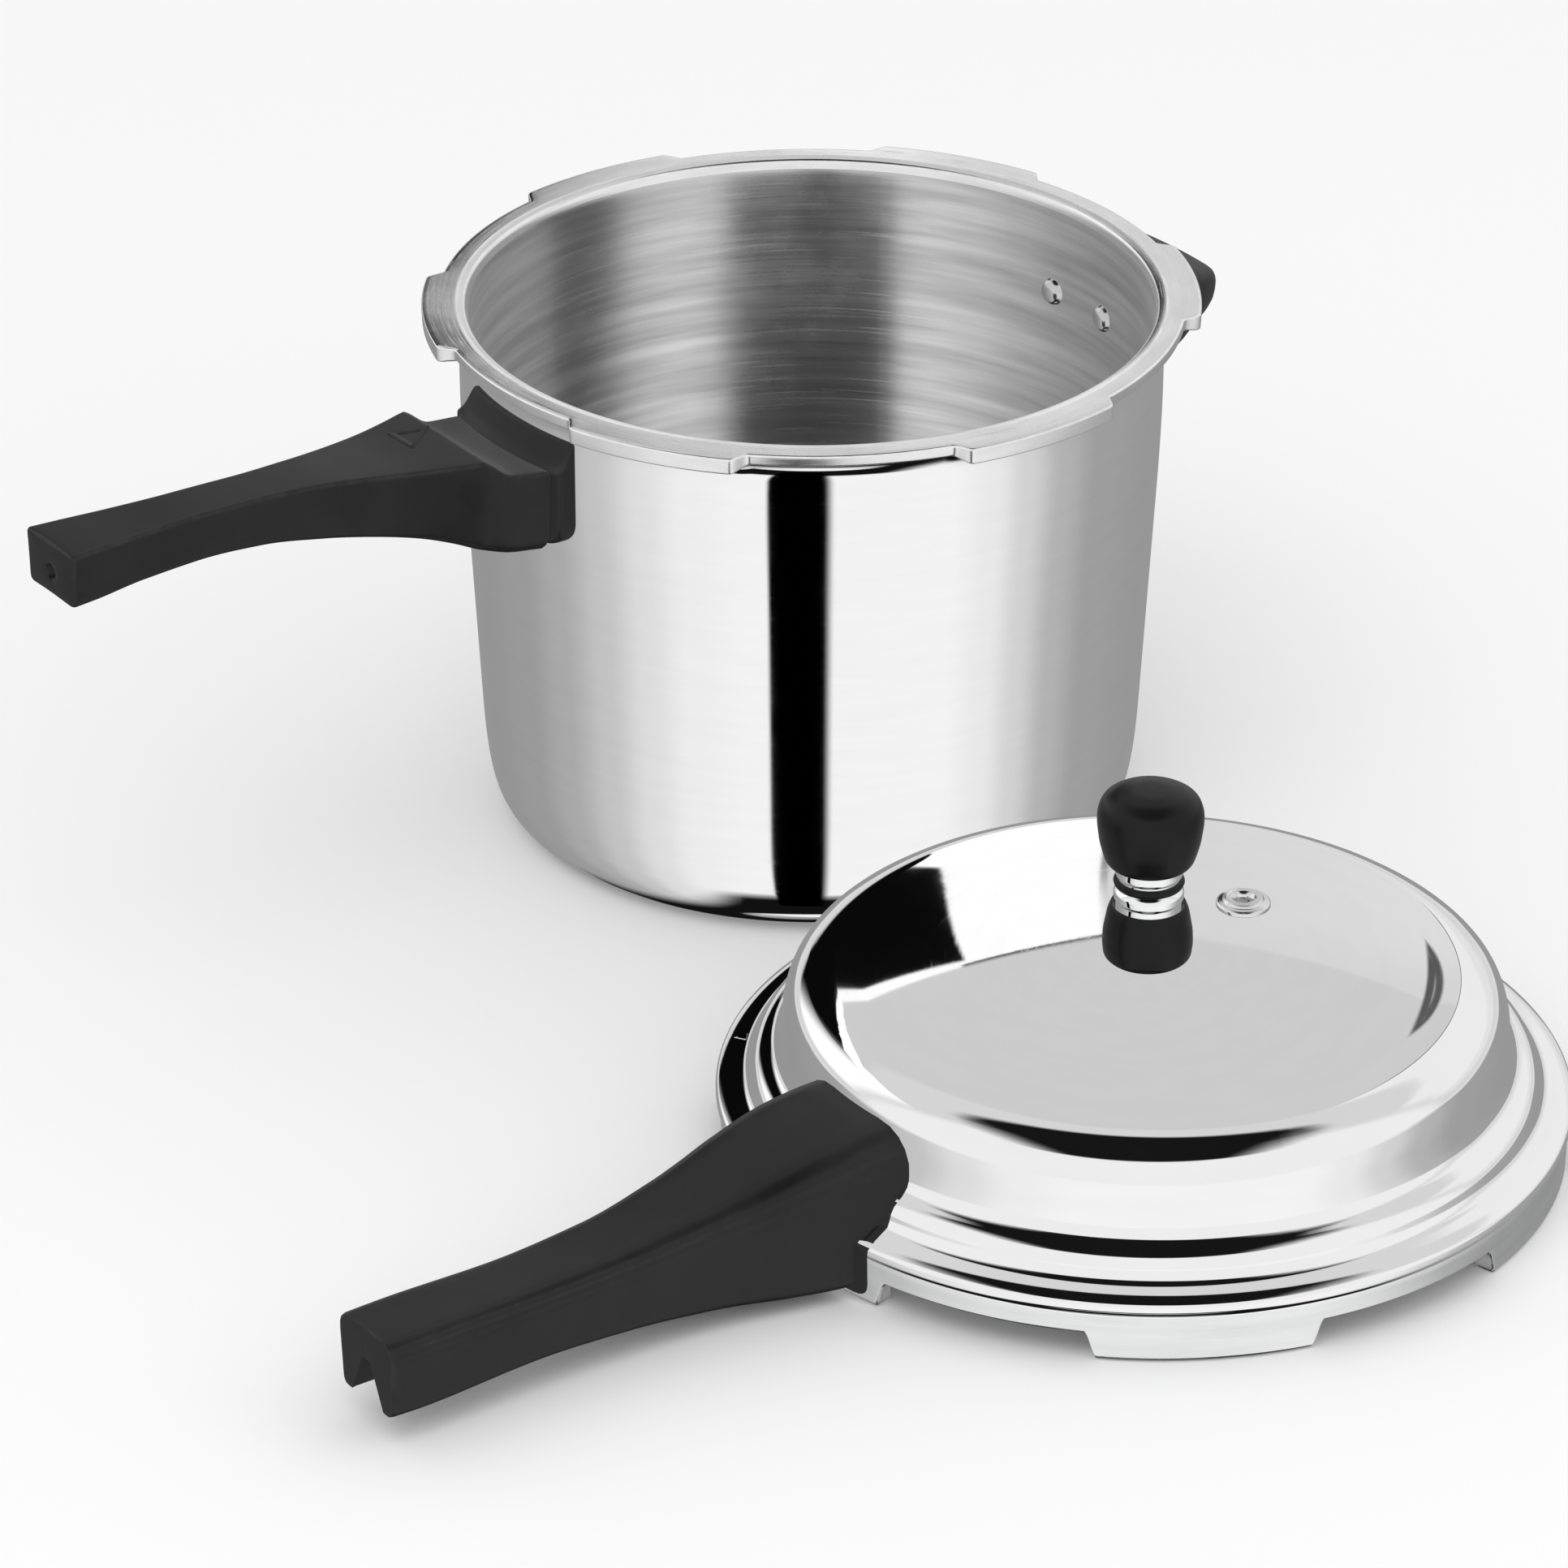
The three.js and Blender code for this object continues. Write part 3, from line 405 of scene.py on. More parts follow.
@dataclass
class Graph:
    """A node tree with short ways to add nodes and join them."""

    tree: bpy.types.NodeTree

    def add(self, kind: str, inputs: dict[str | int, Value] | None = None, **settings: object) -> Node:
        """Adds a node, sets its settings, and sets or links its inputs by name or number."""
        node = self.tree.nodes.new(kind)
        for key, value in settings.items():
            setattr(node, key, value)
        for key, value in (inputs or {}).items():
            if isinstance(value, bpy.types.NodeSocket):
                self.tree.links.new(value, node.inputs[key])
            else:
                node.inputs[key].default_value = value
        return node

    def group(self, tree: bpy.types.NodeTree, at: Socket, **sizes: float) -> Node:
        """One of the shared effects, read at a place."""
        return self.add("ShaderNodeGroup", {"Vector": at, **sizes}, node_tree=tree)

    def vector(self, operation: str, *values: Value, result: int | str = 0) -> Socket:
        """One Vector Math node's result."""
        return self.add("ShaderNodeVectorMath", dict(enumerate(values)), operation=operation).outputs[result]

    def noise(self, at: Socket, scale: Value, detail: float, **more: float) -> Socket:
        """One Noise node's value."""
        places = {"Vector": at, "Scale": scale, "Detail": detail, **more}
        return self.add("ShaderNodeTexNoise", places).outputs[0]

    def join(self, end: Node, **values: Value) -> None:
        """Links or sets a node's inputs, with _ for the spaces in their names."""
        for key, value in values.items():
            socket = end.inputs[key.replace("_", " ")]
            if isinstance(value, bpy.types.NodeSocket):
                self.tree.links.new(value, socket)
            else:
                socket.default_value = value

    def here(self) -> Socket:
        """The piece's own coordinates, in metres."""
        return self.add("ShaderNodeTexCoord").outputs["Object"]

    def bump(self, height: Socket, strength: float, depth: float) -> Socket:
        """A normal raised by a height."""
        return self.add("ShaderNodeBump", {"Height": height, "Strength": strength, "Distance": depth}).outputs[0]

    def math(self, operation: str, *values: Value) -> Socket:
        """One Math node's result."""
        return self.add("ShaderNodeMath", dict(enumerate(values)), operation=operation).outputs[0]

    def ranged(self, value: Socket, low: float, high: float, to_low: float, to_high: float,
               smooth: bool = False) -> Socket:
        """The value carried from one range to another, held at the ends."""
        kind = "SMOOTHSTEP" if smooth else "LINEAR"
        places = {0: value, 1: low, 2: high, 3: to_low, 4: to_high}
        return self.add("ShaderNodeMapRange", places, interpolation_type=kind, clamp=True).outputs[0]

    def blended(self, share: Socket, first: Value, second: Value) -> Socket:
        """A colour mix from the first to the second."""
        node = self.add("ShaderNodeMix", data_type="RGBA")
        for socket, value in ((node.inputs[0], share), (node.inputs[6], first), (node.inputs[7], second)):
            if isinstance(value, bpy.types.NodeSocket):
                self.tree.links.new(value, socket)
            else:
                socket.default_value = value
        return node.outputs[2]


def effect(name: str, inputs: dict[str, tuple[str, object]], outputs: tuple[str, ...]) -> tuple[Graph, Node, Node]:
    """Starts a shader node group.

    Args:
        name: Name of the effect.
        inputs: Socket type and start value of each input.
        outputs: Names of the value outputs.

    Returns:
        The group's graph, its input node and its output node.
    """
    tree = bpy.data.node_groups.new(name, "ShaderNodeTree")
    for key, (kind, start) in inputs.items():
        socket = tree.interface.new_socket(key, in_out="INPUT", socket_type=kind)
        if kind == "NodeSocketFloat":
            socket.default_value = start
    for key in outputs:
        tree.interface.new_socket(key, in_out="OUTPUT", socket_type="NodeSocketFloat")
    graph = Graph(tree)
    return graph, graph.add("NodeGroupInput"), graph.add("NodeGroupOutput")


def turned_grain() -> bpy.types.NodeTree:
    """Fine lines round +Z: noise read at (x/r stretch, y/r stretch, (1.35 z + r) pitch), with r the distance out.

    Scratches are the peaks of the same noise read a little finer round the axis.
    """
    graph, start, end = effect(
        "turned_grain",
        {
            "Vector": ("NodeSocketVector", None),
            "Stretch": ("NodeSocketFloat", 3.0),
            "Pitch": ("NodeSocketFloat", 1500.0),
        },
        ("Lines", "Streaks", "Scratch"),
    )
    at, stretch = start.outputs["Vector"], start.outputs["Stretch"]
    flat = graph.vector("MULTIPLY", at, (1, 1, 0))
    out = graph.vector("LENGTH", flat, result="Value")
    way = graph.add("ShaderNodeSeparateXYZ", {0: graph.vector("NORMALIZE", flat)})
    height = graph.add("ShaderNodeSeparateXYZ", {0: at}).outputs[2]
    x, y = (graph.math("MULTIPLY", way.outputs[side], stretch) for side in (0, 1))
    z = graph.math("MULTIPLY", graph.math("ADD", graph.math("MULTIPLY", height, 1.35), out), start.outputs["Pitch"])
    fine = graph.add("ShaderNodeCombineXYZ", {0: x, 1: y, 2: z}).outputs[0]
    broad = graph.add("ShaderNodeCombineXYZ", {0: x, 1: y, 2: graph.math("MULTIPLY", z, 0.12)}).outputs[0]
    sparse = graph.noise(graph.vector("MULTIPLY", fine, (1.7, 1.7, 0.7)), 1.0, 1.0)
    graph.join(end, Lines=graph.noise(fine, 1.0, 3.0), Streaks=graph.noise(broad, 1.0, 2.0),
               Scratch=graph.ranged(sparse, 0.62, 0.72, 0, 1))
    return graph.tree


def handling() -> bpy.types.NodeTree:
    """Signs of use: soft smudges from broad noise."""
    graph, start, end = effect(
        "handling",
        {"Vector": ("NodeSocketVector", None), "Scale": ("NodeSocketFloat", 22.0)},
        ("Smudge",),
    )
    soft = graph.noise(start.outputs["Vector"], start.outputs["Scale"], 5.0, Roughness=0.55)
    graph.join(end, Smudge=graph.ranged(soft, 0.35, 0.72, 0, 1, True))
    return graph.tree


def moulded_grain() -> bpy.types.NodeTree:
    """Moulded plastic: fine pebbled grain, and broad flow marks from low noise."""
    graph, start, end = effect(
        "moulded_grain",
        {"Vector": ("NodeSocketVector", None), "Size": ("NodeSocketFloat", 1400.0)},
        ("Pebble", "Flow"),
    )
    at = start.outputs["Vector"]
    graph.join(end, Pebble=graph.noise(at, start.outputs["Size"], 2.0),
               Flow=graph.noise(at, 38.0, 4.0, Distortion=0.6))
    return graph.tree


def edge_wear() -> bpy.types.NodeTree:
    """Rubbed edges: the piece's own edge value broken up by noise."""
    graph, start, end = effect("edge_wear", {"Vector": ("NodeSocketVector", None)}, ("Wear",))
    edge = graph.add("ShaderNodeAttribute", attribute_name="edge")
    patchy = graph.ranged(graph.noise(start.outputs["Vector"], 240.0, 4.0), 0.38, 0.66, 0.15, 1)
    graph.join(end, Wear=graph.math("MULTIPLY", edge.outputs["Fac"], patchy))
    return graph.tree


@dataclass
class Effects:
    """The node groups that the finishes share."""

    grain: bpy.types.NodeTree = field(default_factory=turned_grain)
    use: bpy.types.NodeTree = field(default_factory=handling)
    mould: bpy.types.NodeTree = field(default_factory=moulded_grain)
    wear: bpy.types.NodeTree = field(default_factory=edge_wear)


def emptied(owner: bpy.types.Material | bpy.types.World) -> Graph:
    """The owner's node tree with nothing in it."""
    owner.use_nodes = True
    owner.node_tree.nodes.clear()
    return Graph(owner.node_tree)


def new_material(name: str) -> tuple[bpy.types.Material, Graph, Node]:
    """A node material with its Principled shader joined up."""
    material = bpy.data.materials.new(name)
    graph = emptied(material)
    shader = graph.add("ShaderNodeBsdfPrincipled")
    graph.add("ShaderNodeOutputMaterial", {0: shader.outputs[0]})
    return material, graph, shader


def shades(colour: Colour, *changes: tuple[float, float]) -> list[tuple[float, ...]]:
    """The colour times a factor, plus a little, for each pair of changes."""
    return [tuple(min(1.0, c * factor + more) for c in colour) + (1.0,) for factor, more in changes]


@dataclass(frozen=True)
class Metal:
    """A bare metal finish: grain lines round an axis, smudges, scuffs and rubbed edges."""

    name: str
    colour: Colour
    roughness: tuple[float, float]
    tint: float = 0.05
    lines: float = 0.02
    line_depth: float = 0.00002
    pitch: float = 1500.0
    stretch: float = 3.0
    brushed: float = 0.0
    wear: float = 0.1
    centre: tuple[float, float] = (0.0, 0.0)

    def material(self, fx: Effects) -> bpy.types.Material:
        """Builds the finish: colour dips with streaks, roughness rises with smudges, scratches and lines, lines raise a
        bump.
        """
        material, graph, shader = new_material(self.name)
        shift = (-self.centre[0] * MM, -self.centre[1] * MM, 0.0)
        at = graph.add("ShaderNodeMapping", {"Vector": graph.here(), "Location": shift}).outputs[0]
        grain = graph.group(fx.grain, at, Pitch=self.pitch, Stretch=self.stretch)
        lines, smudge = grain.outputs["Lines"], graph.group(fx.use, at).outputs[0]
        worn = graph.math("MULTIPLY", graph.group(fx.wear, at).outputs[0], self.wear)
        dark, bright, rubbed = shades(self.colour, (1 - self.tint * 2.2, 0), (1 + self.tint * 0.4, 0), (1.12, 0.03))
        colour = graph.blended(graph.ranged(grain.outputs["Streaks"], 0.3, 0.7, 0, 1), dark, bright)
        low, high = self.roughness
        rough = graph.ranged(smudge, 0, 1, low, high)
        for value in (grain.outputs["Scratch"], graph.math("SUBTRACT", lines, 0.5)):
            rough = graph.math("ADD", rough, graph.math("MULTIPLY", value, (high - low) * 0.8))
        graph.join(shader, Base_Color=graph.blended(worn, colour, rubbed), Roughness=rough, Metallic=1.0,
                   Normal=graph.bump(lines, self.lines, self.line_depth))
        if self.brushed:
            along = graph.vector("NORMALIZE", graph.vector("CROSS_PRODUCT", (0, 0, 1), at))
            graph.join(shader, Tangent=along, Anisotropic=self.brushed, Anisotropic_Rotation=0.25)
        return material


@dataclass(frozen=True)
class Plastic:
    """Moulded black plastic or rubber: pebbled grain, flow marks and rubbed edges."""

    name: str
    colour: Colour
    roughness: tuple[float, float]
    grain: float = 0.35
    grain_depth: float = 0.00004
    size: float = 1400.0
    specular: float = 0.4
    wear: float = 0.5

    def material(self, fx: Effects) -> bpy.types.Material:
        """Builds the finish: flow marks tint the colour and roughness, the pebble and flow raise a bump."""
        material, graph, shader = new_material(self.name)
        at = graph.here()
        mould = graph.group(fx.mould, at, Size=self.size)
        flow, smudge = mould.outputs["Flow"], graph.group(fx.use, at).outputs[0]
        worn = graph.math("MULTIPLY", graph.group(fx.wear, at).outputs[0], self.wear)
        deep, pale, rubbed = shades(self.colour, (0.7, 0), (1.35, 0), (2.6, 0.012))
        body = graph.blended(graph.ranged(flow, 0.3, 0.7, 0, 1), deep, pale)
        low, high = self.roughness
        rough = graph.math("SUBTRACT", graph.ranged(flow, 0.3, 0.7, low, high),
                           graph.math("MULTIPLY", smudge, (high - low) * 0.5))
        height = graph.math("ADD", mould.outputs["Pebble"], graph.math("MULTIPLY", flow, 0.5))
        graph.join(shader, Base_Color=graph.blended(worn, body, rubbed), Roughness=rough,
                   Specular_IOR_Level=self.specular, Normal=graph.bump(height, self.grain, self.grain_depth))
        return material


STEEL = (0.945, 0.945, 0.945)
MIRROR = Metal("mirror_steel", STEEL, (0.03, 0.06), tint=0.010, lines=0.03, wear=0.1)
RECIPES: dict[str, Metal | Plastic] = {
    "mirror": MIRROR,
    "brushed": Metal("brushed_steel", (0.70, 0.70, 0.705), (0.23, 0.32), tint=0.13, lines=0.3, line_depth=0.00005,
                     stretch=1.5, brushed=0.7),
    "rim": Metal("machined_rim", (0.88, 0.88, 0.882), (0.17, 0.28), tint=0.04, lines=0.2, line_depth=0.00006,
                 stretch=5.0, wear=0.6),
    "base": Metal("base_steel", (0.80, 0.80, 0.81), (0.16, 0.28), lines=0.2),
    "lid_mirror": replace(MIRROR, name="lid_mirror_steel", roughness=(0.012, 0.03), lines=0.015, centre=LID_AT),
    "lid_skirt": Metal("lid_skirt_steel", (0.86, 0.865, 0.87), (0.15, 0.27), tint=0.04, lines=0.15, wear=0.4,
                       centre=LID_AT),
    "lid_inside": Metal("lid_inside_steel", (0.74, 0.74, 0.75), (0.24, 0.36), tint=0.08, lines=0.25, brushed=0.6,
                        centre=LID_AT),
    "rivet": Metal("rivet_steel", (0.62, 0.62, 0.63), (0.14, 0.24), tint=0.06, wear=0.3, pitch=2600.0),
    "sheet": Metal("bracket_sheet", (0.60, 0.60, 0.61), (0.30, 0.42), tint=0.08, lines=0.2),
    "fastener": Metal("fastener_steel", (0.66, 0.66, 0.67), (0.24, 0.36), tint=0.08, lines=0.2, pitch=2400.0,
                      wear=0.4),
    "fitting": Metal("fitting_steel", (0.78, 0.78, 0.79), (0.12, 0.24), tint=0.06, lines=0.15, wear=0.4,
                     pitch=2400.0, centre=LID_AT),
    "alloy": Metal("plug_alloy", (0.42, 0.42, 0.43), (0.32, 0.46), tint=0.12, lines=0.1, wear=0.2),
    "chrome": Metal("chrome_plate", (0.94, 0.945, 0.95), (0.03, 0.06), tint=0.012, lines=0.03, pitch=2600.0,
                    centre=LID_AT),
    "phenolic": Plastic("black_phenolic", (0.0105, 0.0105, 0.0108), (0.36, 0.48), specular=0.30),
    "knob": Plastic("weight_plastic", (0.006, 0.006, 0.0062), (0.30, 0.40), grain=0.2, specular=0.2, wear=0.2),
    "rubber": Plastic("gasket_rubber", (0.035, 0.035, 0.037), (0.62, 0.8), grain=0.5, size=900.0, specular=0.3,
                      wear=0.2),
}


class Finishes:
    """Every finish on the cooker, made once and looked up by its short name."""

    def __init__(self) -> None:
        """Builds the materials."""
        fx = Effects()
        self.made = {key: recipe.material(fx) for key, recipe in RECIPES.items()}

    def __getitem__(self, key: str) -> bpy.types.Material:
        """One finish."""
        return self.made[key]


# ---------------------------------------------------------------- the pot


@dataclass
class Pot:
    """The pot's drawn shell: thick base, tapered wall, turned-out rim with six lugs, and the rivets through it."""

    radius: float = 106.0
    height: float = 166.0
    wall: float = 3.0
    base_radius: float = 86.0
    base: float = 4.5
    foot_in: float = 5.6
    foot: float = 22.0
    shoulder: float = 128.0
    rim_out: float = 6.5
    rim: float = 3.6
    lug_out: float = 4.5
    lug: float = 5.2
    lug_half: tuple[float, float] = (12.3, 15.0)
    swing: float = math.atan2(48.0, 227.0)

    def profiles(self) -> tuple[Array, Array]:
        """Corner points of the plain and the lugged profile, and the length trimmed at each."""
        foot = self.radius - self.foot_in
        top, rim = self.height, self.radius + self.rim_out
        rows = np.array([
            # radius, height, more radius at a lug, more height at a lug, trim
            (0, 0, 0, 0, 0), (self.base_radius - 14, 0, 0, 0, 2), (self.base_radius - 12.6, 0.5, 0, 0, 1),
            (self.base_radius - 11, 0, 0, 0, 1), (self.base_radius, 0, 0, 0, 3), (self.base_radius + 7, 1.6, 0, 0, 4),
            (foot - 2.4, 8.0, 0, 0, 7), (foot, self.foot, 0, 0, 12), (self.radius, self.shoulder, 0, 0, 20),
            (self.radius, top - 9, 0, 0, 2.5), (self.radius + 2.2, top - self.rim - 1.6, 0.6, 0, 1.2),
            (rim - 0.2, top - self.rim, self.lug_out, self.rim - self.lug, 0.7),
            (rim, top - 0.25, self.lug_out, 0, 0.7), (rim - 1.2, top, self.lug_out, 0, 0.5),
            (self.radius + 0.6, top, 0, 0, 0.8),
            (self.radius - 2.1, top - 0.35, 0, 0, 1.0), (self.radius - self.wall, top - 3.4, 0, 0, 1.6),
            (self.radius - self.wall, self.shoulder, 0, 0, 20), (foot - self.wall, self.foot, 0, 0, 9),
            (foot - self.wall - 3, 10.0, 0, 0, 6), (self.base_radius, self.base, 0, 0, 6), (0, self.base, 0, 0, 0),
        ])
        plain, lugged = rows[:, :2], rows[:, :2] + rows[:, 2:4]
        return np.stack([plain, lugged]), rows[:, 4]

    def shell(self, looks: Finishes) -> bpy.types.Object:
        """The shell, turned from the plain profile and pushed to the lugged one over each lug."""
        corners, trims = self.profiles()
        path = resampled(filleted(corners, trims, 5), 5.0)
        middles = 30.0 + 60.0 * np.arange(6)
        angles = lug_angles(middles, self.lug_half[0] - 0.4, self.lug_half[1] + 0.5)
        share = lug_share(angles, middles, *self.lug_half)
        bands = self.banded(path[0])
        skin = turned(path, angles=angles, mask=share, bands=bands)
        finishes = [looks["mirror"], looks["rim"], looks["brushed"], looks["base"]]
        return fitted(made("pot_shell", [skin], finishes), Body.POT, Slot.POT, "pot_body")

    def banded(self, path: Array) -> Array:
        """Finish of each profile span: base below, mirror wall outside, machined rim on top, brushed inside."""
        order = np.arange(len(path))
        inside = order > np.argmax(path[:, 1] > self.height - 0.05)
        bands = np.where(inside & (path[:, 1] < self.height - 2.6), 2, 0)
        bands[~inside & (path[:, 0] < self.base_radius + 1) & (path[:, 1] < 2)] = 3
        bands[(path[:, 1] > self.height - self.rim - 0.6) & (bands == 0)] = 1
        return bands

    def rivet_profile(self, grip: float = 6.6) -> Array:
        """A rivet along +Z: a low dome inside the wall, and a flat head outside the bracket."""
        half = grip / 2
        corners = np.array([(0, -half - 2.7), (2.3, -half - 2.45), (3.7, -half - 1.5), (4.3, -half - 0.15),
                            (4.25, -half + 0.02), (2.5, -half + 0.02), (2.5, half), (3.6, half), (3.3, half + 1.2),
                            (0, half + 1.4)])
        trims = np.array([0, 1.2, 1.2, 0.3, 0.1, 0.05, 0.05, 0.3, 0.4, 0])
        return resampled(filleted(corners, trims, 4), 1.2)

    def rivets(self, looks: Finishes) -> None:
        """The four rivets that hold the two handles' brackets."""
        profile = self.rivet_profile()
        side, near = 16.6, 13.0
        far = math.sqrt(self.radius**2 - side**2)
        close = math.sqrt(self.radius**2 - near**2)
        spots = (
            ("pot_rivet_right", Body.POT, math.pi + self.swing, -far, -side, 134.0),
            ("pot_rivet_left", Body.SWING, math.pi - self.swing, -far, side, 134.0),
            ("helper_rivet_right", Body.POT, math.radians(-7), close, -near, 136.0),
            ("helper_rivet_left", Body.POT, math.radians(7), close, near, 136.0),
        )
        for name, body, turn, x, y, z in spots:
            skin = turned(profile, 48).moved(z=-0.3).laid(turn, x, y, z)
            fitted(made(name + "_head", [skin], [looks["rivet"]], 50), body, Slot.RIVET, name)


@dataclass
class PotHandle:
    """The long handle: a waisted arm with a raised flat top, a low shelf, and a flared collar against the wall."""

    wall: float = 106.35
    collar_out: float = 113.4
    gap: float = 0.6
    low: float = 121.4
    high: float = 155.0
    collar_middle: float = 110.0
    collar_half: float = 25.2
    corner: float = 8.0
    corner_share: float = 0.3
    hang: tuple[float, float, float] = (150.0, 2.5, 7.0)
    pointer_at: tuple[tuple[float, float], ...] = ((-145.2, 10.8), (-131.9, 7.8), (-144.6, -2.6))

    def table(self) -> Array:
        """Sections as (x, low, high, half width low, half width high, trim low, trim high)."""
        return np.array([
            (-263.8, 142.9, 159.2, 12.2, 12.9, 2.0, 1.3), (-257, 143.0, 159.2, 11.6, 12.2, 2.0, 1.3),
            (-240, 143.9, 159.0, 10.2, 10.6, 2.2, 1.3), (-220, 144.0, 158.8, 9.1, 9.4, 2.4, 1.3),
            (-200, 142.6, 158.3, 9.0, 9.3, 2.6, 1.3), (-180, 139.4, 157.5, 10.3, 10.8, 2.8, 1.3),
            (-165, 136.4, 156.5, 12.5, 13.4, 3.2, 1.3), (-150, 132.8, 155.7, 15.8, 17.0, 3.6, 1.4),
            (-140, 129.2, 155.5, 18.6, 19.9, 4.4, 1.4), (-132.2, 125.6, 155.4, 20.8, 22.3, 5.4, 1.3),
            (-131.2, 125.2, 154.9, 21.0, 22.5, 5.6, 1.3), (-124.2, 122.6, 149.6, 22.6, 23.4, 7.0, 1.6),
            (-123.0, 122.2, 149.2, 22.8, 23.6, 7.2, 1.6), (-116, 120.9, 148.0, 23.6, 24.3, 8.0, 1.6),
            (-113.4, 120.6, 147.6, 23.9, 24.5, 8.0, 1.4),
        ])

    def bent(self, points: Array, last: float) -> Array:
        """Slides the root to the collar's round face: x grows by t (last - sqrt(R^2 - y^2)), t rising over 14 mm."""
        radius = self.collar_out + self.gap
        t = stepped(points[..., 0], last - 14, last)
        to = -np.sqrt(radius**2 - points[..., 1] ** 2)
        slid = points.copy()
        slid[..., 0] += t * (to - last)
        return slid

    def arm(self, looks: Finishes) -> bpy.types.Object:
        """The arm with its hanging hole, and the raised open pointer on its top."""
        table = self.table()
        last = -self.collar_out - self.gap
        at = np.concatenate([np.arange(table[0, 0], -134, 1.5), np.arange(-134, last - 0.5, 0.45), [last - 0.5]])
        low, high, half_low, half_high, trim_low, trim_high = eased_table(table, at).T
        body = sections(at, low, high, half_low, half_high, trim_low, trim_high, crown=0.25)
        skin = Skin(self.bent(capped(body, 1.2, 0.5, self.hang), last))
        piece = made("pot_handle_arm", [skin, self.pointer()], [looks["phenolic"]], 38)
        return fitted(piece, Body.POT, Slot.HANDLE, "pot_handle")

    def pointer(self) -> Skin:
        """An open triangle: its outline carried over a low ridge, at shares 1.02 to 0.53 of the way out."""
        outline = resampled(filleted(np.array(self.pointer_at), 0.7, 4, closed=True), 0.8, closed=True)
        middle = outline.mean(axis=0)
        share = np.array([1.02, 0.99, 0.95, 0.60, 0.56, 0.53])
        height = np.array([155.2, 156.35, 156.55, 156.45, 156.25, 155.2])
        flat = middle + (outline[:, None, :] - middle) * share[None, :, None]
        tall = np.broadcast_to(height[None, :, None], (*flat.shape[:2], 1))
        return Skin(np.concatenate([flat, tall], axis=2)[::-1], looped=True)

    def collar(self, looks: Finishes) -> bpy.types.Object:
        """The collar: a section of (radius, height) carried round the wall, with rounded ends.

        Point (s, a) is (-r cos a, r sin a, z), with a up to the half angle at which the section's middle is the
        collar's half width out. The lower edge rises by c (1 - sqrt(1 - u^2)), with c the corner's size and u the
        share of the way along the outer part of that angle and the rounded end.
        """
        corners = np.array([(self.wall, self.low), (self.collar_out, self.low + 1.0), (self.collar_out, 146.6),
                            (self.collar_out - 2.4, 148.4), (self.wall + 2.6, 152.6), (self.wall + 1.4, self.high),
                            (self.wall, self.high)])
        trims = np.array([0.5, 3.2, 0.9, 2.2, 1.4, 0.5, 0.3])
        outline = resampled(filleted(corners, trims, 5, closed=True), 1.5, closed=True)
        half = math.asin(self.collar_half / self.collar_middle)
        turn = half * np.sin(np.linspace(-math.pi / 2, math.pi / 2, 46))
        middle = outline.mean(axis=0)
        share = np.concatenate([[0, 0.5, 0.86, 0.95, 0.985], np.ones(46), [0.985, 0.95, 0.86, 0.5, 0]])
        reach = np.array([0.012, 0.012, 0.0115, 0.009, 0.005])
        angle = np.concatenate([-half - reach, turn, half + reach[::-1]])
        rz = middle + (outline[:, None, :] - middle) * share[None, :, None]
        begins = (1 - self.corner_share) * half
        u = ((np.abs(angle) - begins) / (self.corner_share * half + reach[0])).clip(0, 1)
        lift = self.corner * (1 - np.sqrt(1 - u * u))
        tall = rz[..., 1] + lift * (self.high - rz[..., 1]) / (self.high - self.low)
        points = np.stack([-rz[..., 0] * np.cos(angle), rz[..., 0] * np.sin(angle), tall], axis=2)
        return fitted(made("pot_handle_flare", [Skin(points)], [looks["phenolic"]], 38), Body.POT, Slot.HANDLE,
                      "pot_handle_collar")


@dataclass
class HelperHandle:
    """The short ear opposite the long handle, hollowed underneath for the fingers."""

    wall: float = 106.35

    def ear(self, looks: Finishes) -> bpy.types.Object:
        """The ear: rounded sections that narrow to its tip, with the root slid to the wall's round face."""
        table = np.array([
            (106.7, 123.4, 148.4, 30.4, 30.8, 4.0, 3.2), (112, 123.2, 149.0, 30.2, 30.9, 5.0, 4.0),
            (120, 126.0, 148.9, 28.6, 29.6, 6.5, 5.0), (130, 129.6, 147.6, 25.0, 26.6, 7.5, 6.0),
            (138, 131.2, 145.4, 20.4, 22.4, 7.0, 6.5), (143, 132.6, 142.6, 15.0, 17.4, 5.2, 5.4),
            (145.6, 134.0, 140.0, 10.4, 12.4, 3.2, 3.2),
        ])
        at = np.arange(table[0, 0], table[-1, 0] + 0.01, 0.9)
        low, high, half_low, half_high, trim_low, trim_high = eased_table(table, at).T
        body = sections(at, low, high, half_low, half_high, trim_low, trim_high, crown=0.8, spacing=1.8)
        points = capped(body, 0.3, 1.3)
        t = 1 - stepped(points[..., 0], self.wall, self.wall + 16)
        points[..., 0] += t * (np.sqrt(self.wall**2 - points[..., 1] ** 2) - self.wall)
        piece = made("helper_ear", [Skin(points)], [looks["phenolic"]], 38)
        return fitted(piece, Body.POT, Slot.HANDLE, "helper_handle")


# ---------------------------------------------------------------- the lid


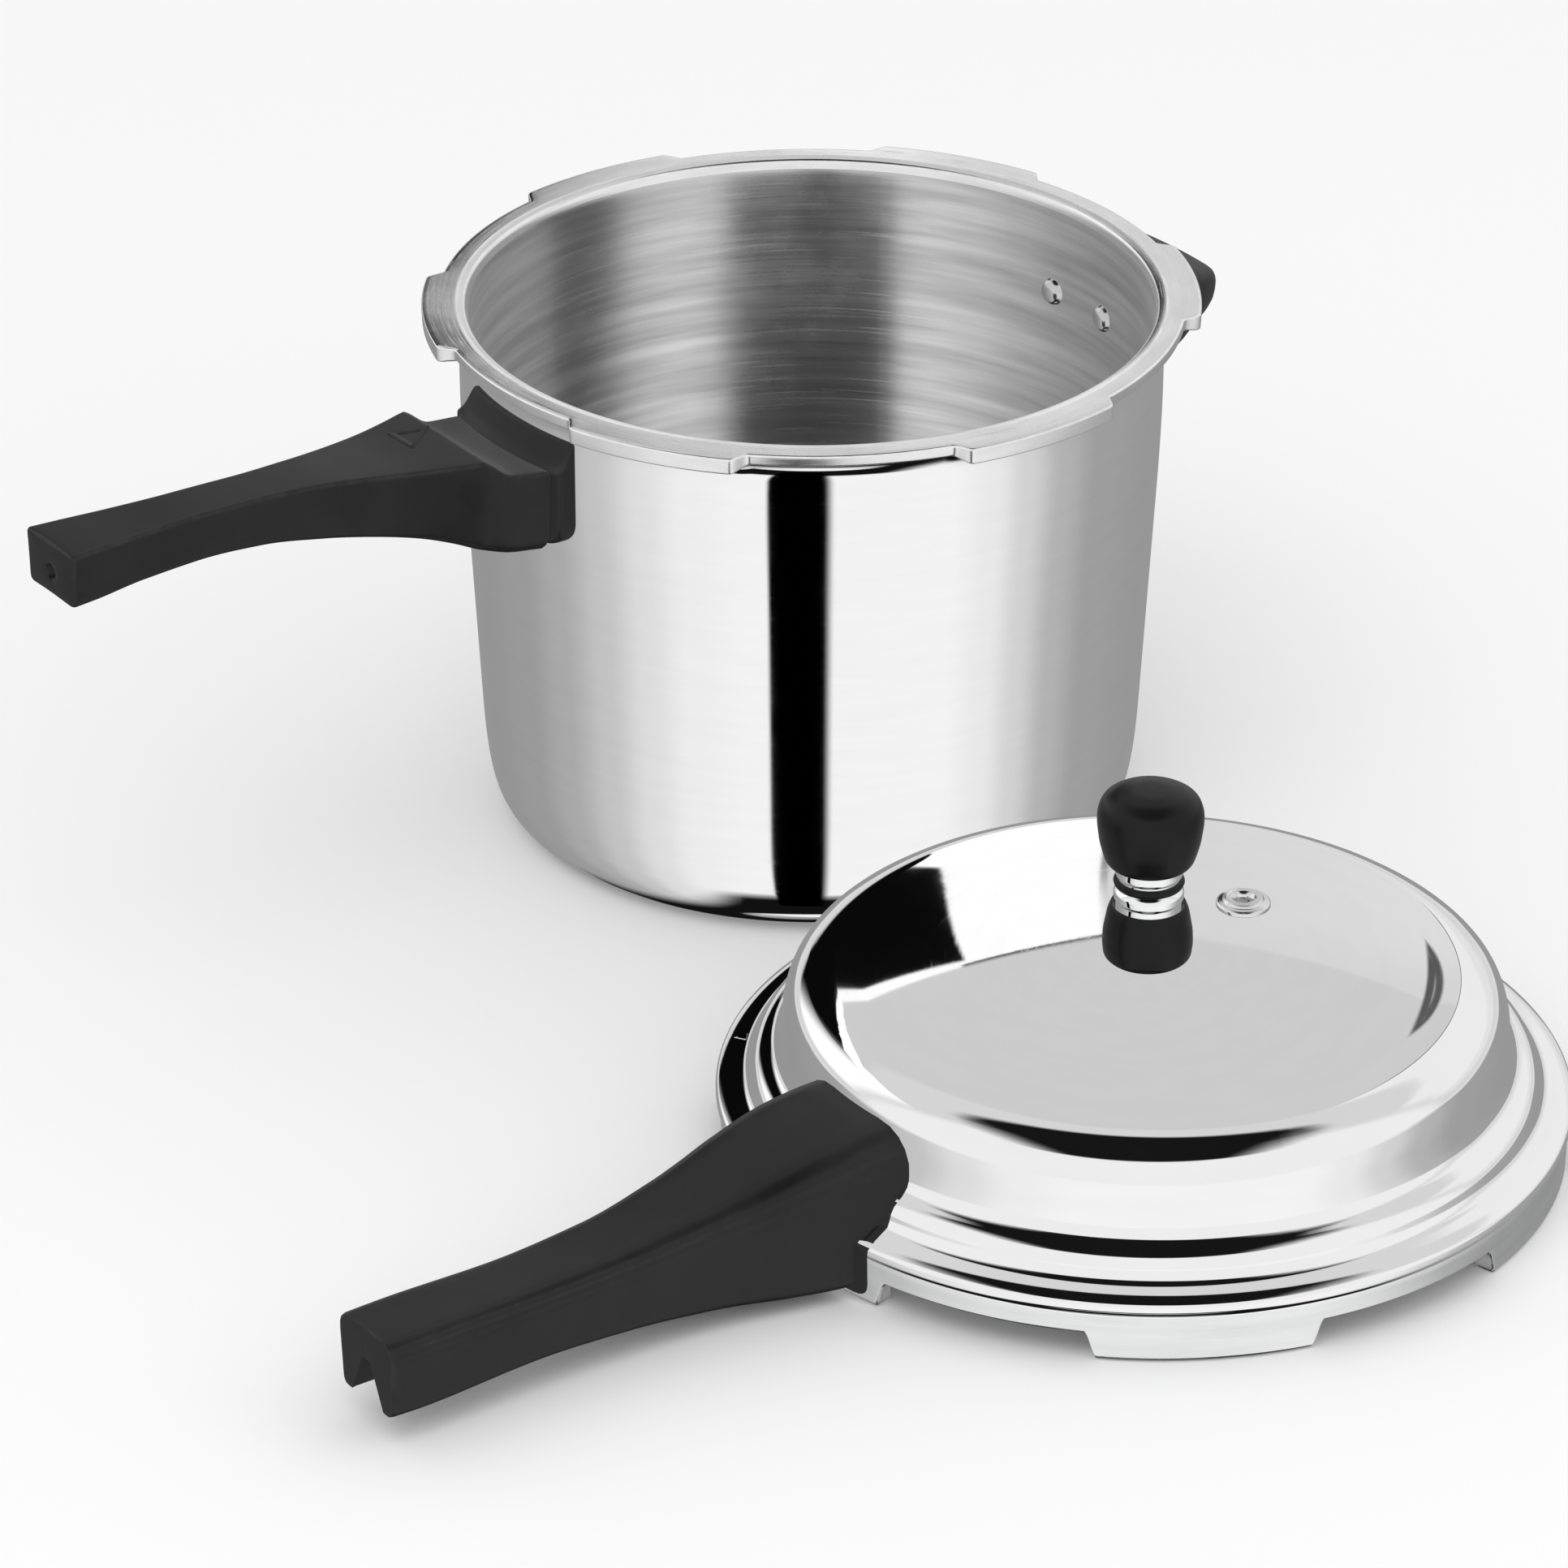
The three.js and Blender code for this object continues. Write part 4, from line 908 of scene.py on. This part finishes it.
@dataclass
class Lid:
    """The lid's pressed shell: crowned dome, stepped foot, flange, and a skirt with six turned-in lugs."""

    skirt: float = 120.1
    skirt_in: float = 118.1
    skirt_low: float = 8.0
    flange: float = 16.6
    dome: float = 54.0
    crown: float = 3.6
    sheet: float = 2.0
    lug_in: float = 113.4
    lug: float = 4.5
    lug_half: tuple[float, float] = (14.2, 15.9)
    rivet_height: float = 36.5

    @property
    def dome_radius(self) -> float:
        """Radius of the dome's upright wall."""
        return self.skirt - 17.4

    @property
    def step(self) -> float:
        """Radius of the small step at the dome's foot."""
        return self.skirt - 8.2

    @property
    def top(self) -> float:
        """Height of the crown's middle."""
        return self.dome + self.crown

    def outside(self) -> Array:
        """Corners of the outer face from the skirt's bead up to the middle, as (radius, height, trim).

        The crown falls by 0.83 q^2 + 0.87 q^6 of its height at share q of the dome's radius.
        """
        s, f, d, step, z = self.skirt, self.flange, self.dome_radius, self.step, self.dome
        share = np.linspace(0.82, 0, 14)
        rise = self.top - self.crown * (0.83 * share**2 + 0.87 * share**6)
        crown = np.stack([d * share, rise, np.full(14, 8.0)], axis=1)
        wall = np.array([
            (s, f - 3.4, 0.4), (s - 0.3, f - 2.3, 0.5), (s + 1.3, f - 0.5, 0.6), (s + 1.1, f + 1.7, 1.0),
            (s - 1.6, f + 3.1, 1.3), (step + 1.6, f + 4.0, 1.3), (step, f + 5.8, 1.4),
            (step - 0.7, f + 8.6, 1.5), (step - 2.8, f + 10.9, 1.7), (d + 2.2, f + 12.3, 1.8), (d + 0.6, f + 15.2, 2.0),
            (d, f + 20.0, 3.0), (d - 0.5, z - 10.0, 3.6), (d - 3.4, z - 3.6, 4.4), (d - 11.0, z + 0.1, 5.0),
        ])
        return np.concatenate([wall, crown])

    def profiles(self) -> tuple[Array, Array]:
        """The plain and the lugged profile, from the middle underneath, round the lower edge, to the middle on top."""
        f, d, step, t, s, i = self.flange, self.dome_radius, self.step, self.sheet, self.skirt, self.skirt_in
        under = np.array([
            (0, self.top - t, 0), (d * 0.3, self.top - t - 0.35, 14), (d * 0.6, self.dome - t + self.crown * 0.68, 20),
            (d - 12.4, self.dome - t, 5), (d - 5.2, self.dome - 5.6, 4), (d - t - 0.4, self.dome - 11.4, 3),
            (d - t, f + 18, 2), (d - t + 0.8, f + 12.6, 2), (step - 4.4, f + 9.0, 2), (step - 2.6, f + 6.6, 1.2),
            (step - 2.0, f + 3.8, 1.2), (step - 0.2, f + 0.2, 1), (i, f, 0.8),
        ])
        low = self.skirt_low
        plain = np.array([
            (i, low + 3, 0.4), (i, low + 1.2, 0.2), (i + 0.9, low + 0.4, 0.2), (i + 0.95, low + 0.3, 0.2),
            (i + 1.0, low + 0.2, 0.1), (i + 1.1, low, 0.1), (s - 0.6, low, 0.4), (s, low + 0.6, 0.4),
        ])
        lugged = np.array([
            (i, self.lug + 1.6, 0.4), (i - 0.2, self.lug + 0.2, 0.5), (self.lug_in + 0.8, self.lug, 0.5),
            (self.lug_in, self.lug - 0.6, 0.4), (self.lug_in, 0.6, 0.4), (self.lug_in + 0.8, 0, 0.5),
            (s - 1.0, 0, 0.8), (s, 1.0, 0.8),
        ])
        out = self.outside()
        both = np.stack([np.concatenate([under, plain, out]), np.concatenate([under, lugged, out])])
        return both[..., :2], both[0, :, 2]

    def envelope(self, height: Array) -> Array:
        """Outer radius of the lid at a height above its lower edge."""
        out = self.outside()
        path = resampled(filleted(out[:, :2], out[:, 2], 5), 2.0)
        widest = np.maximum.accumulate(path[::-1, 0])[::-1]
        return np.where(height > self.top, 0.0, np.interp(height, path[:, 1], widest))

    def shell(self, looks: Finishes) -> bpy.types.Object:
        """The shell, turned from the plain profile and pushed to the lugged one over each lug."""
        corners, trims = self.profiles()
        path = resampled(filleted(corners, trims, 5), 4.0)
        middles = 60.0 * np.arange(6)
        angles = lug_angles(middles, self.lug_half[0] - 0.3, self.lug_half[1] + 0.3, 0.16)
        share = lug_share(angles, middles, *self.lug_half)
        turn = int(np.argmin(np.abs(path[0] - np.array([self.skirt, self.skirt_low + 0.6])).sum(axis=1)))
        order = np.arange(path.shape[1])
        bead = order[(order > turn) & (path[0][:, 1] > self.flange - 3.0)][0]
        bands = np.where(order < turn - 3, 1, np.where(order < bead, 2, 0))
        skin = turned(path, angles=angles, mask=share, bands=bands)
        skin = skin.moved(*LID_AT)
        finishes = [looks["lid_mirror"], looks["lid_inside"], looks["lid_skirt"]]
        return fitted(made("lid_dome", [skin, self.arrow()], finishes), Body.LID, Slot.LID, "lid_shell")

    def arrow(self) -> Skin:
        """The small raised arrowhead on the flange: an outline carried over a low ridge, pointing outward."""
        around = math.radians(134.2)
        tip = np.array([(118.2, 0.0), (114.2, 2.0), (114.2, -2.0)])
        outline = resampled(filleted(tip, 0.3, 3, closed=True), 0.5, closed=True)
        middle = np.array([115.4, 0.0])
        share = np.array([1.0, 0.94, 0.72, 0.66])
        flat = middle + (outline[:, None, :] - middle) * share[None, :, None]
        c, s = math.cos(around), math.sin(around)
        x = flat[..., 0] * c - flat[..., 1] * s
        y = flat[..., 0] * s + flat[..., 1] * c
        ground = self.flange + 3.1 + (118.5 - flat[..., 0]) * 0.18
        z = ground + np.array([-0.3, 0.28, 0.28, -0.3])[None, :]
        return Skin(np.stack([x, y, z], axis=2), looped=True).moved(*LID_AT)

    def gasket(self, looks: Finishes) -> bpy.types.Object:
        """The gasket: a flat ring against the flange with a rib in the hollow of the step."""
        low, top = self.flange - 0.35 - 3.6, self.flange - 0.35
        inner, outer, step = 104.8, self.skirt_in - 0.6, self.step
        corners = np.array([(inner, low + 0.6), (inner + 0.8, low), (outer - 1.0, low), (outer, low + 0.8),
                            (outer, top), (step + 0.4, top), (step - 3, self.flange + 4.4),
                            (step - 5, self.flange + 4.4), (inner, top)])
        outline = resampled(filleted(corners, 0.5, 4, closed=True), 2.0, closed=True)
        skin = turned(outline, 200, looped=True).moved(*LID_AT)
        return fitted(made("lid_seal_ring", [skin], [looks["rubber"]]), Body.SEAL, Slot.RUBBER, "lid_gasket")

    def rivets(self, looks: Finishes) -> None:
        """The two rivets that hold the lid handle's bracket to the dome."""
        profile = Pot().rivet_profile()
        for name, side in (("lid_rivet_right", -1), ("lid_rivet_left", 1)):
            turn = math.radians(180 - side * 7.5)
            x, y = (self.dome_radius * way(turn) + at for way, at in zip((math.cos, math.sin), LID_AT))
            skin = turned(profile, 48).moved(z=0.4).laid(turn, x, y, self.rivet_height)
            fitted(made(name + "_head", [skin], [looks["rivet"]], 50), Body.LID, Slot.RIVET, name)


@dataclass
class LidHandle:
    """The lid's handle: a deep hood against the dome that narrows to a channelled grip."""

    lid: Lid
    gap: float = 0.45

    def table(self) -> Array:
        """Sections as (x, low, high, half low, half high, trim low, trim high, channel half width, channel height)."""
        return np.array([
            (-260.6, 9.0, 31.4, 12.0, 13.7, 2.6, 6.0, 7.0, 22.0), (-250, 8.8, 31.4, 12.4, 14.0, 2.8, 6.4, 7.0, 22.2),
            (-215, 9.6, 30.8, 12.0, 13.5, 2.8, 6.6, 7.0, 22.6), (-185, 8.4, 32.0, 13.0, 14.6, 3.0, 7.4, 7.4, 23.4),
            (-160, 6.4, 35.6, 15.4, 17.2, 3.4, 8.6, 8.6, 24.4), (-150, 5.4, 37.6, 17.2, 19.0, 3.6, 9.6, 8.6, 6.4),
            (-138, 4.2, 40.4, 20.0, 21.2, 4.0, 10.8, 8.6, 4.5), (-118, 3.1, 44.2, 23.8, 23.6, 4.4, 12.6, 8.6, 3.3),
            (-106, 3.1, 45.4, 24.4, 23.8, 4.4, 13.4, 8.6, 3.2), (-99, 3.1, 45.6, 24.4, 23.6, 4.4, 13.6, 8.6, 3.2),
        ])

    def grip(self, looks: Finishes) -> bpy.types.Object:
        """The handle: eight-cornered sections with a channel underneath, pressed out to the lid where they meet it.

        A point at distance r from the lid's axis, below the lid's outline, moves out to max(r, outline + gap).
        """
        table = self.table()
        at = np.concatenate([np.arange(table[0, 0], -126, 1.5), np.arange(-126, table[-1, 0], 0.8)])
        low, high, half_low, half_high, trim_low, trim_high, cut, roof = eased_table(table, at).T
        cut = np.minimum(cut, half_low - trim_low - 0.8)
        y = np.stack([half_high, -half_high, -half_low, -cut - 0.5, -cut, cut, cut + 0.5, half_low], axis=1)
        z = np.stack([high, high, low, low, roof, roof, low, low], axis=1)
        trims = np.stack([trim_high, trim_high, trim_low, trim_low * 0.25, trim_low * 0.4, trim_low * 0.4,
                          trim_low * 0.25, trim_low], axis=1)
        outline = resampled(filleted(np.stack([y, z], axis=2), trims, 5, closed=True), 1.8, closed=True)
        x = np.broadcast_to(at[:, None], outline.shape[:2])
        body = np.moveaxis(np.stack([x, outline[..., 0], outline[..., 1]], axis=2), 0, 1)
        tip = body[:, :1] * np.array([1, 0.965, 1]) + np.array([-1.0, 0, 0])
        heart = np.array([-261.8, 0.0, 26.4])
        shut = [heart + (tip[:, 0] - heart) * s for s in (0, 0.5, 0.9)]
        root = body[:, -1].mean(axis=0)
        closing = [root + (body[:, -1] - root) * s for s in (0.7, 0.3, 0)]
        points = np.concatenate([np.stack(shut, axis=1), tip, body, np.stack(closing, axis=1)], axis=1)
        r = np.hypot(points[..., 0], points[..., 1])
        out = np.maximum(1, (self.lid.envelope(points[..., 2]) + self.gap) / r)
        points[..., :2] *= out[..., None]
        piece = made("lid_handle_grip", [Skin(points).moved(*LID_AT)], [looks["phenolic"]], 38)
        return fitted(piece, Body.LID, Slot.HANDLE, "lid_handle")


@dataclass
class Fittings:
    """What stands on the lid: the vent tube, the weight and the safety plug."""

    lid: Lid
    safety_at: tuple[float, float] = (42 * math.cos(math.radians(11)), 42 * math.sin(math.radians(11)))

    def ring_piece(self, name: str, corners: list[tuple[float, float]], trim: float, finish: bpy.types.Material,
                   body: Body, slot: Slot, at: tuple[float, float] = (0.0, 0.0), looped: bool = True,
                   spacing: float = 1.4) -> bpy.types.Object:
        """A small turned piece about the lid's axis, or about another point of the lid."""
        shape = np.array(corners)
        path = filleted(shape, trim, 5, closed=looped)
        skin = turned(resampled(path, spacing, closed=looped), 96, looped=looped)
        skin = skin.moved(LID_AT[0] + at[0], LID_AT[1] + at[1])
        return fitted(made(name + "_turned", [skin], [finish], 50), body, slot, name)

    def vent(self, looks: Finishes) -> None:
        """The vent tube: a headed, bored stud through the middle of the lid."""
        t = self.lid.top
        tube = [(1.6, t - 12), (3.6, t - 12), (3.6, t + 0.2), (5.8, t + 0.35), (5.8, t + 2), (3.6, t + 2.5),
                (2.8, t + 8), (2.1, t + 8), (1.6, t + 7)]
        self.ring_piece("vent_tube", tube, 0.3, looks["fitting"], Body.LID, Slot.FITTING)

    def safety(self, looks: Finishes) -> None:
        """The safety plug: a stepped round body, and its soft-metal centre with a shallow dish."""
        t = self.lid.top + 0.1
        body = [(2.4, t - 11), (4.6, t - 11), (4.6, t - 0.1), (7.8, t - 0.05), (7.8, t + 1.0), (7.2, t + 1.5),
                (6.0, t + 1.7), (5.4, t + 2.5), (3.6, t + 2.6), (2.9, t + 2.1), (2.4, t + 1.6)]
        self.ring_piece("safety_body", body, 0.22, looks["fitting"], Body.LID, Slot.FITTING, self.safety_at)
        core = [(0, t - 9), (2.1, t - 9), (2.1, t + 1.5), (1.2, t + 1.2), (0, t + 1.1)]
        self.ring_piece("safety_core", core, 0.3, looks["alloy"], Body.LID, Slot.PLUG, self.safety_at, looped=False)

    def weight(self, looks: Finishes) -> None:
        """The weight: a chrome core in a black cup, with a black ring and a black knob."""
        z = self.lid.top + 0.6
        core = [(6.3, z + 0.4), (8.2, z + 0.4), (9.2, z + 1.6), (9.2, z + 18.6), (9.9, z + 19.4), (9.9, z + 21.4),
                (9.2, z + 22.2), (8.2, z + 22.9), (8.2, z + 25.9), (9.2, z + 26.3), (9.6, z + 27.2), (9.2, z + 29.4),
                (4.4, z + 29.4), (4.0, z + 37), (2.75, z + 37), (2.75, z + 11), (4.2, z + 10), (4.2, z + 3.4),
                (6.3, z + 3)]
        self.ring_piece("weight_core", core, 0.4, looks["chrome"], Body.WEIGHT, Slot.WEIGHT_METAL)
        cup = [(9.55, z + 0.6), (10.8, z), (12.4, z + 1.4), (12.8, z + 5), (12.6, z + 9), (11.5, z + 15),
               (10.5, z + 17.6), (9.9, z + 17), (9.55, z + 15.6)]
        self.ring_piece("weight_cup", cup, 0.9, looks["knob"], Body.WEIGHT, Slot.WEIGHT_PLASTIC)
        ring = [(8.6, z + 23.2), (9.6, z + 23.2), (10.1, z + 24.4), (9.6, z + 25.6), (8.6, z + 25.6)]
        self.ring_piece("weight_ring", ring, 0.35, looks["knob"], Body.WEIGHT, Slot.WEIGHT_PLASTIC, spacing=0.6)
        knob = [(0, z + 37.6), (4.6, z + 37.6), (5, z + 29.8), (11, z + 29.8), (12.6, z + 31.4), (14.2, z + 37),
                (15, z + 43), (14.95, z + 46.4), (13.6, z + 49.9), (10.2, z + 52.0), (5.6, z + 52.9), (0, z + 53)]
        self.ring_piece("weight_knob", knob, 1.6, looks["knob"], Body.WEIGHT, Slot.WEIGHT_PLASTIC, looped=False)
        pin = [(0, z + 4.6), (0.9, z + 6.2), (1.1, z + 8.4), (2.4, z + 11.6), (2.4, z + 36.6), (0, z + 36.6)]
        self.ring_piece("weight_pin", pin, 0.3, looks["fitting"], Body.PIN, Slot.FITTING, looped=False)


def dress_hidden(frame: dict, looks: Finishes) -> None:
    """Gives the frame's own flat-sided pieces their finishes: brackets, screws, nuts and washers."""
    chosen = {
        "sheet": ("pot_bracket", "helper_bracket", "lid_bracket"),
        "fastener": ("pot_handle_screw", "helper_screw", "lid_handle_screw", "vent_nut", "safety_nut"),
        "rubber": ("vent_washer", "safety_washer"),
    }
    for finish, names in chosen.items():
        for name in names:
            piece = frame["nodes"][name]
            for slot in piece.material_slots:
                slot.material = looks[finish]
            piece.visible_glossy = False
            LOG.info("%s: kept from the frame", name)


# ---------------------------------------------------------------- the studio


@dataclass
class Studio:
    """Camera, pale floor, soft light, and the pale and dark cards that polished metal mirrors."""

    camera_at: tuple[float, float, float] = (-1158.2, -1594.8, 1049.6)
    heading: float = 54.252
    pitch: float = -28.04
    lens: float = 165.0

    def camera(self) -> None:
        """Places the camera."""
        data = bpy.data.cameras.new("camera")
        data.sensor_width = 36.0
        data.lens = self.lens
        data.clip_end = 50.0
        eye = bpy.data.objects.new("camera", data)
        eye.location = tuple(v * MM for v in self.camera_at)
        eye.rotation_euler = (math.radians(90 + self.pitch), 0, math.radians(self.heading - 90))
        bpy.context.scene.collection.objects.link(eye)
        bpy.context.scene.camera = eye

    def floor(self) -> None:
        """A plain pale floor that polished pieces don't mirror."""
        mesh = bpy.data.meshes.new("floor")
        mesh.from_pydata([(-9, -9, 0), (9, -9, 0), (9, 9, 0), (-9, 9, 0)], [], [(0, 1, 2, 3)])
        material, graph, shader = new_material("pale_floor")
        graph.join(shader, Base_Color=PALE, Roughness=0.9, Specular_IOR_Level=0.0)
        mesh.materials.append(material)
        plane = bpy.data.objects.new("floor", mesh)
        plane.location = (0, 0, -0.0003)
        plane.visible_glossy = False
        bpy.context.scene.collection.objects.link(plane)

    def lamp(self, name: str, at: tuple[float, float, float], size: float, power: float) -> None:
        """A soft square lamp that faces the cooker and that metal doesn't mirror."""
        data = bpy.data.lights.new(name, "AREA")
        data.size = size
        data.energy = power
        lamp = bpy.data.objects.new(name, data)
        lamp.location = at
        way = np.array(at) - np.array([0.0, -0.08, 0.08])
        flat = math.hypot(way[0], way[1])
        lamp.rotation_euler = (math.atan2(flat, way[2]), 0, math.atan2(way[1], way[0]) + math.pi / 2)
        lamp.visible_glossy = False
        bpy.context.scene.collection.objects.link(lamp)

    def sky(self) -> None:
        """The surroundings: plain white for light and view, and studio cards for mirrored rays.

        A mirrored direction is split into t (towards the camera's side), s (to its right) and z (up). Its heading sets
        a grey that is pale in front and darker behind. Above the horizon it is pale, with a dark card overhead. The
        back of the tent, which the flat of the lid mirrors, holds a mid-grey sheet with a bent lower edge, a white
        sheet beside a black one below it, and the dark seams between them.
        """
        world = bpy.data.worlds.new("studio")
        graph = emptied(world)
        way = graph.add("ShaderNodeTexCoord").outputs["Generated"]
        h = math.radians(self.heading)

        def along(vector: tuple[float, float, float]) -> Socket:
            """Share of the direction along a vector."""
            return graph.vector("DOT_PRODUCT", way, vector, result="Value")

        t, s, z = along((-math.cos(h), -math.sin(h), 0)), along((math.sin(h), -math.cos(h), 0)), along((0, 0, 1))
        ramp = graph.add("ShaderNodeValToRGB", {0: graph.ranged(graph.math("ARCTAN2", s, t), -math.pi, math.pi, 0, 1)})
        stops = ((-180, 0.31), (-150, 0.31), (-115, 0.34), (-95, 0.42), (-75, 0.58), (-58, 0.77), (-42, 0.90),
                 (-20, 0.95), (20, 0.95), (46, 0.95), (62, 0.86), (75, 0.68), (90, 0.47), (108, 0.36), (150, 0.32),
                 (180, 0.31))
        ramp.color_ramp.interpolation = "EASE"
        points = ramp.color_ramp.elements
        for place, grey in stops[1:-1]:
            points.new((place + 180) / 360).color = (grey, grey, grey, 1)
        points[0].color = (stops[0][1],) * 3 + (1,)
        points[-1].color = (stops[-1][1],) * 3 + (1,)

        def zone(*edges: tuple[Socket, float, float]) -> Socket:
            """Product of smooth steps, each from the first place, where it is 0, to the second, where it is 1."""
            share: Socket | float = 1.0
            for value, off, on in edges:
                step = graph.ranged(value, min(off, on), max(off, on), float(off > on), float(on > off), True)
                share = graph.math("MULTIPLY", step, share)
            return share

        def slanted(share: float) -> Socket:
            """Height plus a share of the place across."""
            return graph.math("ADD", z, graph.math("MULTIPLY", s, share))

        def across(share: float) -> Socket:
            """Place across plus a share of the height."""
            return graph.math("ADD", s, graph.math("MULTIPLY", z, share))

        wide = graph.math("ABSOLUTE", s)
        behind, low = (t, -0.1, -0.3), (z, 0.16, 0.24)
        falling, rising, edge = slanted(0.43), slanted(-0.30), across(-0.2)
        cards = (
            (zone((z, -0.03, 0.06)), 0.90),
            (zone((t, 0.0, -0.2), (z, -0.02, 0.10)), 0.70),
            (zone(behind, low, (z, 0.50, 0.44), (s, 0.0, 0.28)), 0.80),
            (zone(behind, low, (s, 0.040, 0.036), (falling, 0.4945, 0.4915)), 1.06),
            (zone(behind, low, (edge, -0.106, -0.109), (s, -0.60, -0.42), (slanted(0.29), 0.491, 0.488)), 0.003),
            (zone(behind, low, (edge, -0.112, -0.108), (s, 0.048, 0.044), (falling, 0.4905, 0.4915),
                  (falling, 0.4975, 0.4955)), 0.10),
            (zone(behind, (s, 0.0365, 0.0375), (s, 0.0400, 0.0390), (z, 0.24, 0.30), (z, 0.46, 0.40)), 0.22),
            (zone(behind, (s, 0.0415, 0.0425), (s, 0.060, 0.056), (z, 0.255, 0.265),
                  (slanted(-0.9), 0.285, 0.278)), 0.004),
            (zone(behind, (falling, 0.4915, 0.4945), (rising, 0.454, 0.458), (z, 0.74, 0.68)), 0.635),
            (zone(behind, (s, 0.186, 0.190), (z, 0.30, 0.36), (z, 0.74, 0.68)), 0.88),
            (zone(behind, (s, 0.178, 0.182), (s, 0.190, 0.187), (z, 0.34, 0.40), (z, 0.68, 0.60)), 0.10),
            (zone((z, 0.86, 0.90), (wide, 0.50, 0.26)), 0.008),
            (zone((z, -0.73, -0.81), (z, -0.988, -0.978), (wide, 0.50, 0.28)), 0.006),
        )
        colour: Value = ramp.outputs[0]
        for share, grey in cards:
            colour = graph.blended(share, colour, (grey, grey, grey, 1))
        glossy = graph.add("ShaderNodeLightPath").outputs["Is Glossy Ray"]
        back = graph.add("ShaderNodeBackground", {"Color": graph.blended(glossy, PALE, colour), "Strength": 1.0})
        graph.add("ShaderNodeOutputWorld", {0: back.outputs[0]})
        bpy.context.scene.world = world

    def card(self, name: str, distance: float, low: float, high: float, left: tuple[float, float],
             right: tuple[float, float], grey: float, turn: float = 0.0) -> None:
        """A dark upright card that only mirrored rays coming from its front meet.

        It stands a distance from the pot's axis, square to the way to the camera or to that way turned to the right by
        an angle. Its strength rises over the left pair of places and falls over the right pair, along its own width.
        """
        h = math.radians(self.heading + turn)
        toward = np.array([-math.cos(h), -math.sin(h), 0])
        right_way = np.array([math.sin(h), -math.cos(h), 0])
        ends = np.array([left[0], right[1], right[1], left[0]])
        tall = np.array([low, low, high, high])
        corners = (toward * distance + ends[:, None] * right_way + tall[:, None] * np.array([0, 0, 1])) * MM
        mesh = bpy.data.meshes.new(name)
        mesh.from_pydata(corners.tolist(), [], [(3, 2, 1, 0)])
        material = bpy.data.materials.new(name)
        graph = emptied(material)
        across = graph.vector("DOT_PRODUCT", graph.here(), tuple(right_way), result="Value")
        share = graph.ranged(across, left[0] * MM, left[1] * MM, 0, 1, True)
        share = graph.math("MULTIPLY", share, graph.ranged(across, right[0] * MM, right[1] * MM, 1, 0, True))
        front = graph.math("SUBTRACT", 1.0, graph.add("ShaderNodeNewGeometry").outputs["Backfacing"])
        share = graph.math("MULTIPLY", share, front)
        clear = graph.add("ShaderNodeBsdfTransparent")
        dark = graph.add("ShaderNodeEmission", {"Color": (grey, grey, grey, 1), "Strength": 1.0})
        mixed = graph.add("ShaderNodeMixShader", {0: share, 1: clear.outputs[0], 2: dark.outputs[0]})
        graph.add("ShaderNodeOutputMaterial", {0: mixed.outputs[0]})
        mesh.materials.append(material)
        plane = bpy.data.objects.new(name, mesh)
        plane.visible_camera = plane.visible_diffuse = plane.visible_shadow = False
        plane.visible_transmission = plane.visible_volume_scatter = False
        bpy.context.scene.collection.objects.link(plane)

    def build(self) -> None:
        """Builds everything but the camera."""
        self.floor()
        self.sky()
        self.lamp("key", (-1.1, -0.7, 1.9), 1.2, 6.0)
        self.lamp("fill", (0.9, -1.6, 1.3), 1.6, 3.0)
        self.card("stripe_card", 250, -260, 110, (-53, -47), (13, 27), 0.0)
        self.card("inner_card", 60, -60, 110, (-69, -55), (57, 71), 0.05)
        self.card("side_card", 40, -60, 150, (34, 56), (82, 90), 0.13, 90)
        bpy.context.scene.view_settings.view_transform = "Standard"


# ---------------------------------------------------------------- the cooker


def main() -> None:
    """Builds the cooker over the frame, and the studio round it."""
    logging.basicConfig(level=logging.INFO, format="%(name)s %(message)s")
    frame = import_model()
    studio = Studio()
    studio.camera()
    looks = Finishes()
    pot, pot_handle, lid = Pot(), PotHandle(), Lid()
    fittings = Fittings(lid)
    for dress in (pot.shell, pot.rivets, pot_handle.arm, pot_handle.collar, HelperHandle().ear, lid.shell, lid.gasket,
                  LidHandle(lid).grip, lid.rivets, fittings.vent, fittings.safety, fittings.weight):
        dress(looks)
    dress_hidden(frame, looks)
    studio.build()


if __name__ == "__main__":
    main()
